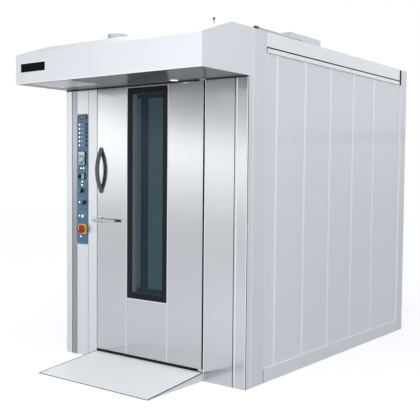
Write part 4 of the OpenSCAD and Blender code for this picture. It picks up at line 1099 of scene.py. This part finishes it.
border_black.surface(
    Base_Color=tone(0.007, 0.009, 0.012),
    Roughness=border_black.noise(12) * 0.10 + 0.28,
    Specular_IOR_Level=0.12,
)
formed("window_frame", border_black, 0.0008)
glass = Finish("window_glass")
glass.surface(
    Base_Color=tone(0.030, 0.056, 0.074),
    Roughness=glass.noise(3, detail=2) * 0.03 + 0.03,
    Alpha=0.34,
    Specular_IOR_Level=0.12,
)
# The inner pane is pale teal and mostly opaque, a painted reflection of the lit chamber behind it.
painted_reflection_glass = Finish("inner_glass")
painted_reflection_glass.surface(
    Base_Color=tone(0.22, 0.36, 0.43),
    Roughness=painted_reflection_glass.noise(3, detail=2) * 0.05 + 0.12,
    Alpha=0.75,
    Specular_IOR_Level=0.12,
)
BETWEEN_Y, BORDER_Y = FRONT_Y + 0.030, FRONT_Y + 0.0575
formed(
    "window_glass",
    glass,
    0.0006,
    apart=(lambda middle: middle.y > BETWEEN_Y, "inner_pane", painted_reflection_glass),
)
# A broad band, a slim one and an edge above and below are printed on the inner pane. The broad band
# is painted shade, the dark stripe of the chamber's reflection.
PANE_X0, PANE_X1, PANE_Z0, PANE_Z1 = -0.1645, 0.1345, 0.5545, 2.0195
BAND_X0, BAND_X1, SLIM_X0 = PANE_X0 + 0.038, PANE_X0 + 0.112, PANE_X1 - 0.022
BORDER_T, EDGE_H = 0.0008, 0.030
whole, foot, head = (PANE_Z0, PANE_Z1), (PANE_Z0, PANE_Z0 + EDGE_H), (PANE_Z1 - EDGE_H, PANE_Z1)
borders = [
    ((x0, BORDER_Y, z0), (x1, BORDER_Y + BORDER_T, z1))
    for x0, x1, (z0, z1) in (
        (BAND_X0, BAND_X1, whole),
        (SLIM_X0, PANE_X1, whole),
        (PANE_X0, BAND_X0, foot),
        (PANE_X0, BAND_X0, head),
        (BAND_X1, SLIM_X0, foot),
        (BAND_X1, SLIM_X0, head),
    )
]
bars("inner_border", borders, "door", border_black, 0.0002)
lining_paint = painted("lining_enamel", (0.56, 0.66, 0.69), 0.40)
spacer_paint = painted("spacer_enamel", (0.93, 0.96, 0.97), 0.35, stain=0.02)
# Between the panes both sides have a white spacer in front and a duller lining behind it
LINING_T = 0.0006
for name, y0, y1, finish in (
    ("window_spacers", FRONT_Y + 0.0100, BETWEEN_Y, spacer_paint),
    ("window_linings", BETWEEN_Y, BORDER_Y - 0.0002, lining_paint),
):
    strips = [
        ((x, y0, PANE_Z0), (x + LINING_T, y1, PANE_Z1)) for x in (PANE_X0, PANE_X1 - LINING_T)
    ]
    bars(name, strips, "door", finish, 0.0001)
formed("door_gasket", rubber, 0.0040, 3)
formed("door_sweep", rubber, 0.0012)

# ---- Pull handle and latch ----
# The bowed handle is cast and painted dark grey. The latch lever is polished steel, turns in a
# fork on the door, and presses its nose on a pad on the jamb.
handle_paint = painted("handle_grey", (0.060, 0.063, 0.070), 0.36, texture=700, depth=0.00008)
formed("pull_handle", handle_paint, 0.0060, 4)
formed("latch_base", hardware, 0.0015)
lever_steel = brushed("lever_steel", (0.44, 0.45, 0.47), 0.20, ALONG_X, stain=0.10)
formed("latch_lever", lever_steel, 0.0024, 3)

# ---- Heating unit ----
# A welded drum with headers and tubes, discoloured by heat, takes the flame of the burner.
# The wheel over it drives the air through the ducts, past the cast troughs that make steam.
heated = Finish("heated_steel")
tint = heated.noise(4, detail=5)
heated.surface(
    Base_Color=heated.mix(tint, tone(0.16, 0.10, 0.07), tone(0.34, 0.27, 0.22)),
    Metallic=0.8,
    Roughness=tint * 0.3 + 0.4,
    Normal=heated.bump(tint, 0.001),
)
for node in ("heat_exchanger", "circulation_fan"):
    coat(node, heated)
burner_red = painted("burner_red", (0.38, 0.025, 0.02), 0.30)
coat("burner", burner_red)
motor_paint = painted("motor_blue", (0.05, 0.10, 0.17), 0.40, texture=250, depth=0.0002)
for node in ("fan_motor", "gearmotor"):
    coat(node, motor_paint)
cast = Finish("cast_iron")
pitting = cast.noise(150, detail=5)
cast.surface(
    Base_Color=cast.mix(pitting, tone(0.045, 0.044, 0.044), tone(0.085, 0.082, 0.080)),
    Metallic=0.5,
    Roughness=0.7,
    Normal=cast.bump(pitting, 0.0006),
)
for node in ("steam_generator", "turntable_bearing"):
    coat(node, cast)

# ---- Turntable and drive ----
# A stainless table turns in a bearing on the base. A roller chain joins its sprocket to that of
# the gearmotor behind the chamber.
formed("turntable", inner_steel, 0.0010)
chain_steel = Finish("oiled_steel")
oil = chain_steel.noise(90, detail=3)
chain_steel.surface(
    Base_Color=chain_steel.mix(oil, tone(0.05, 0.05, 0.052), tone(0.12, 0.12, 0.12)),
    Metallic=0.9,
    Roughness=oil * 0.2 + 0.25,
)
for node in ("drive_chain", "driven_sprocket", "drive_sprocket"):
    coat(node, chain_steel)
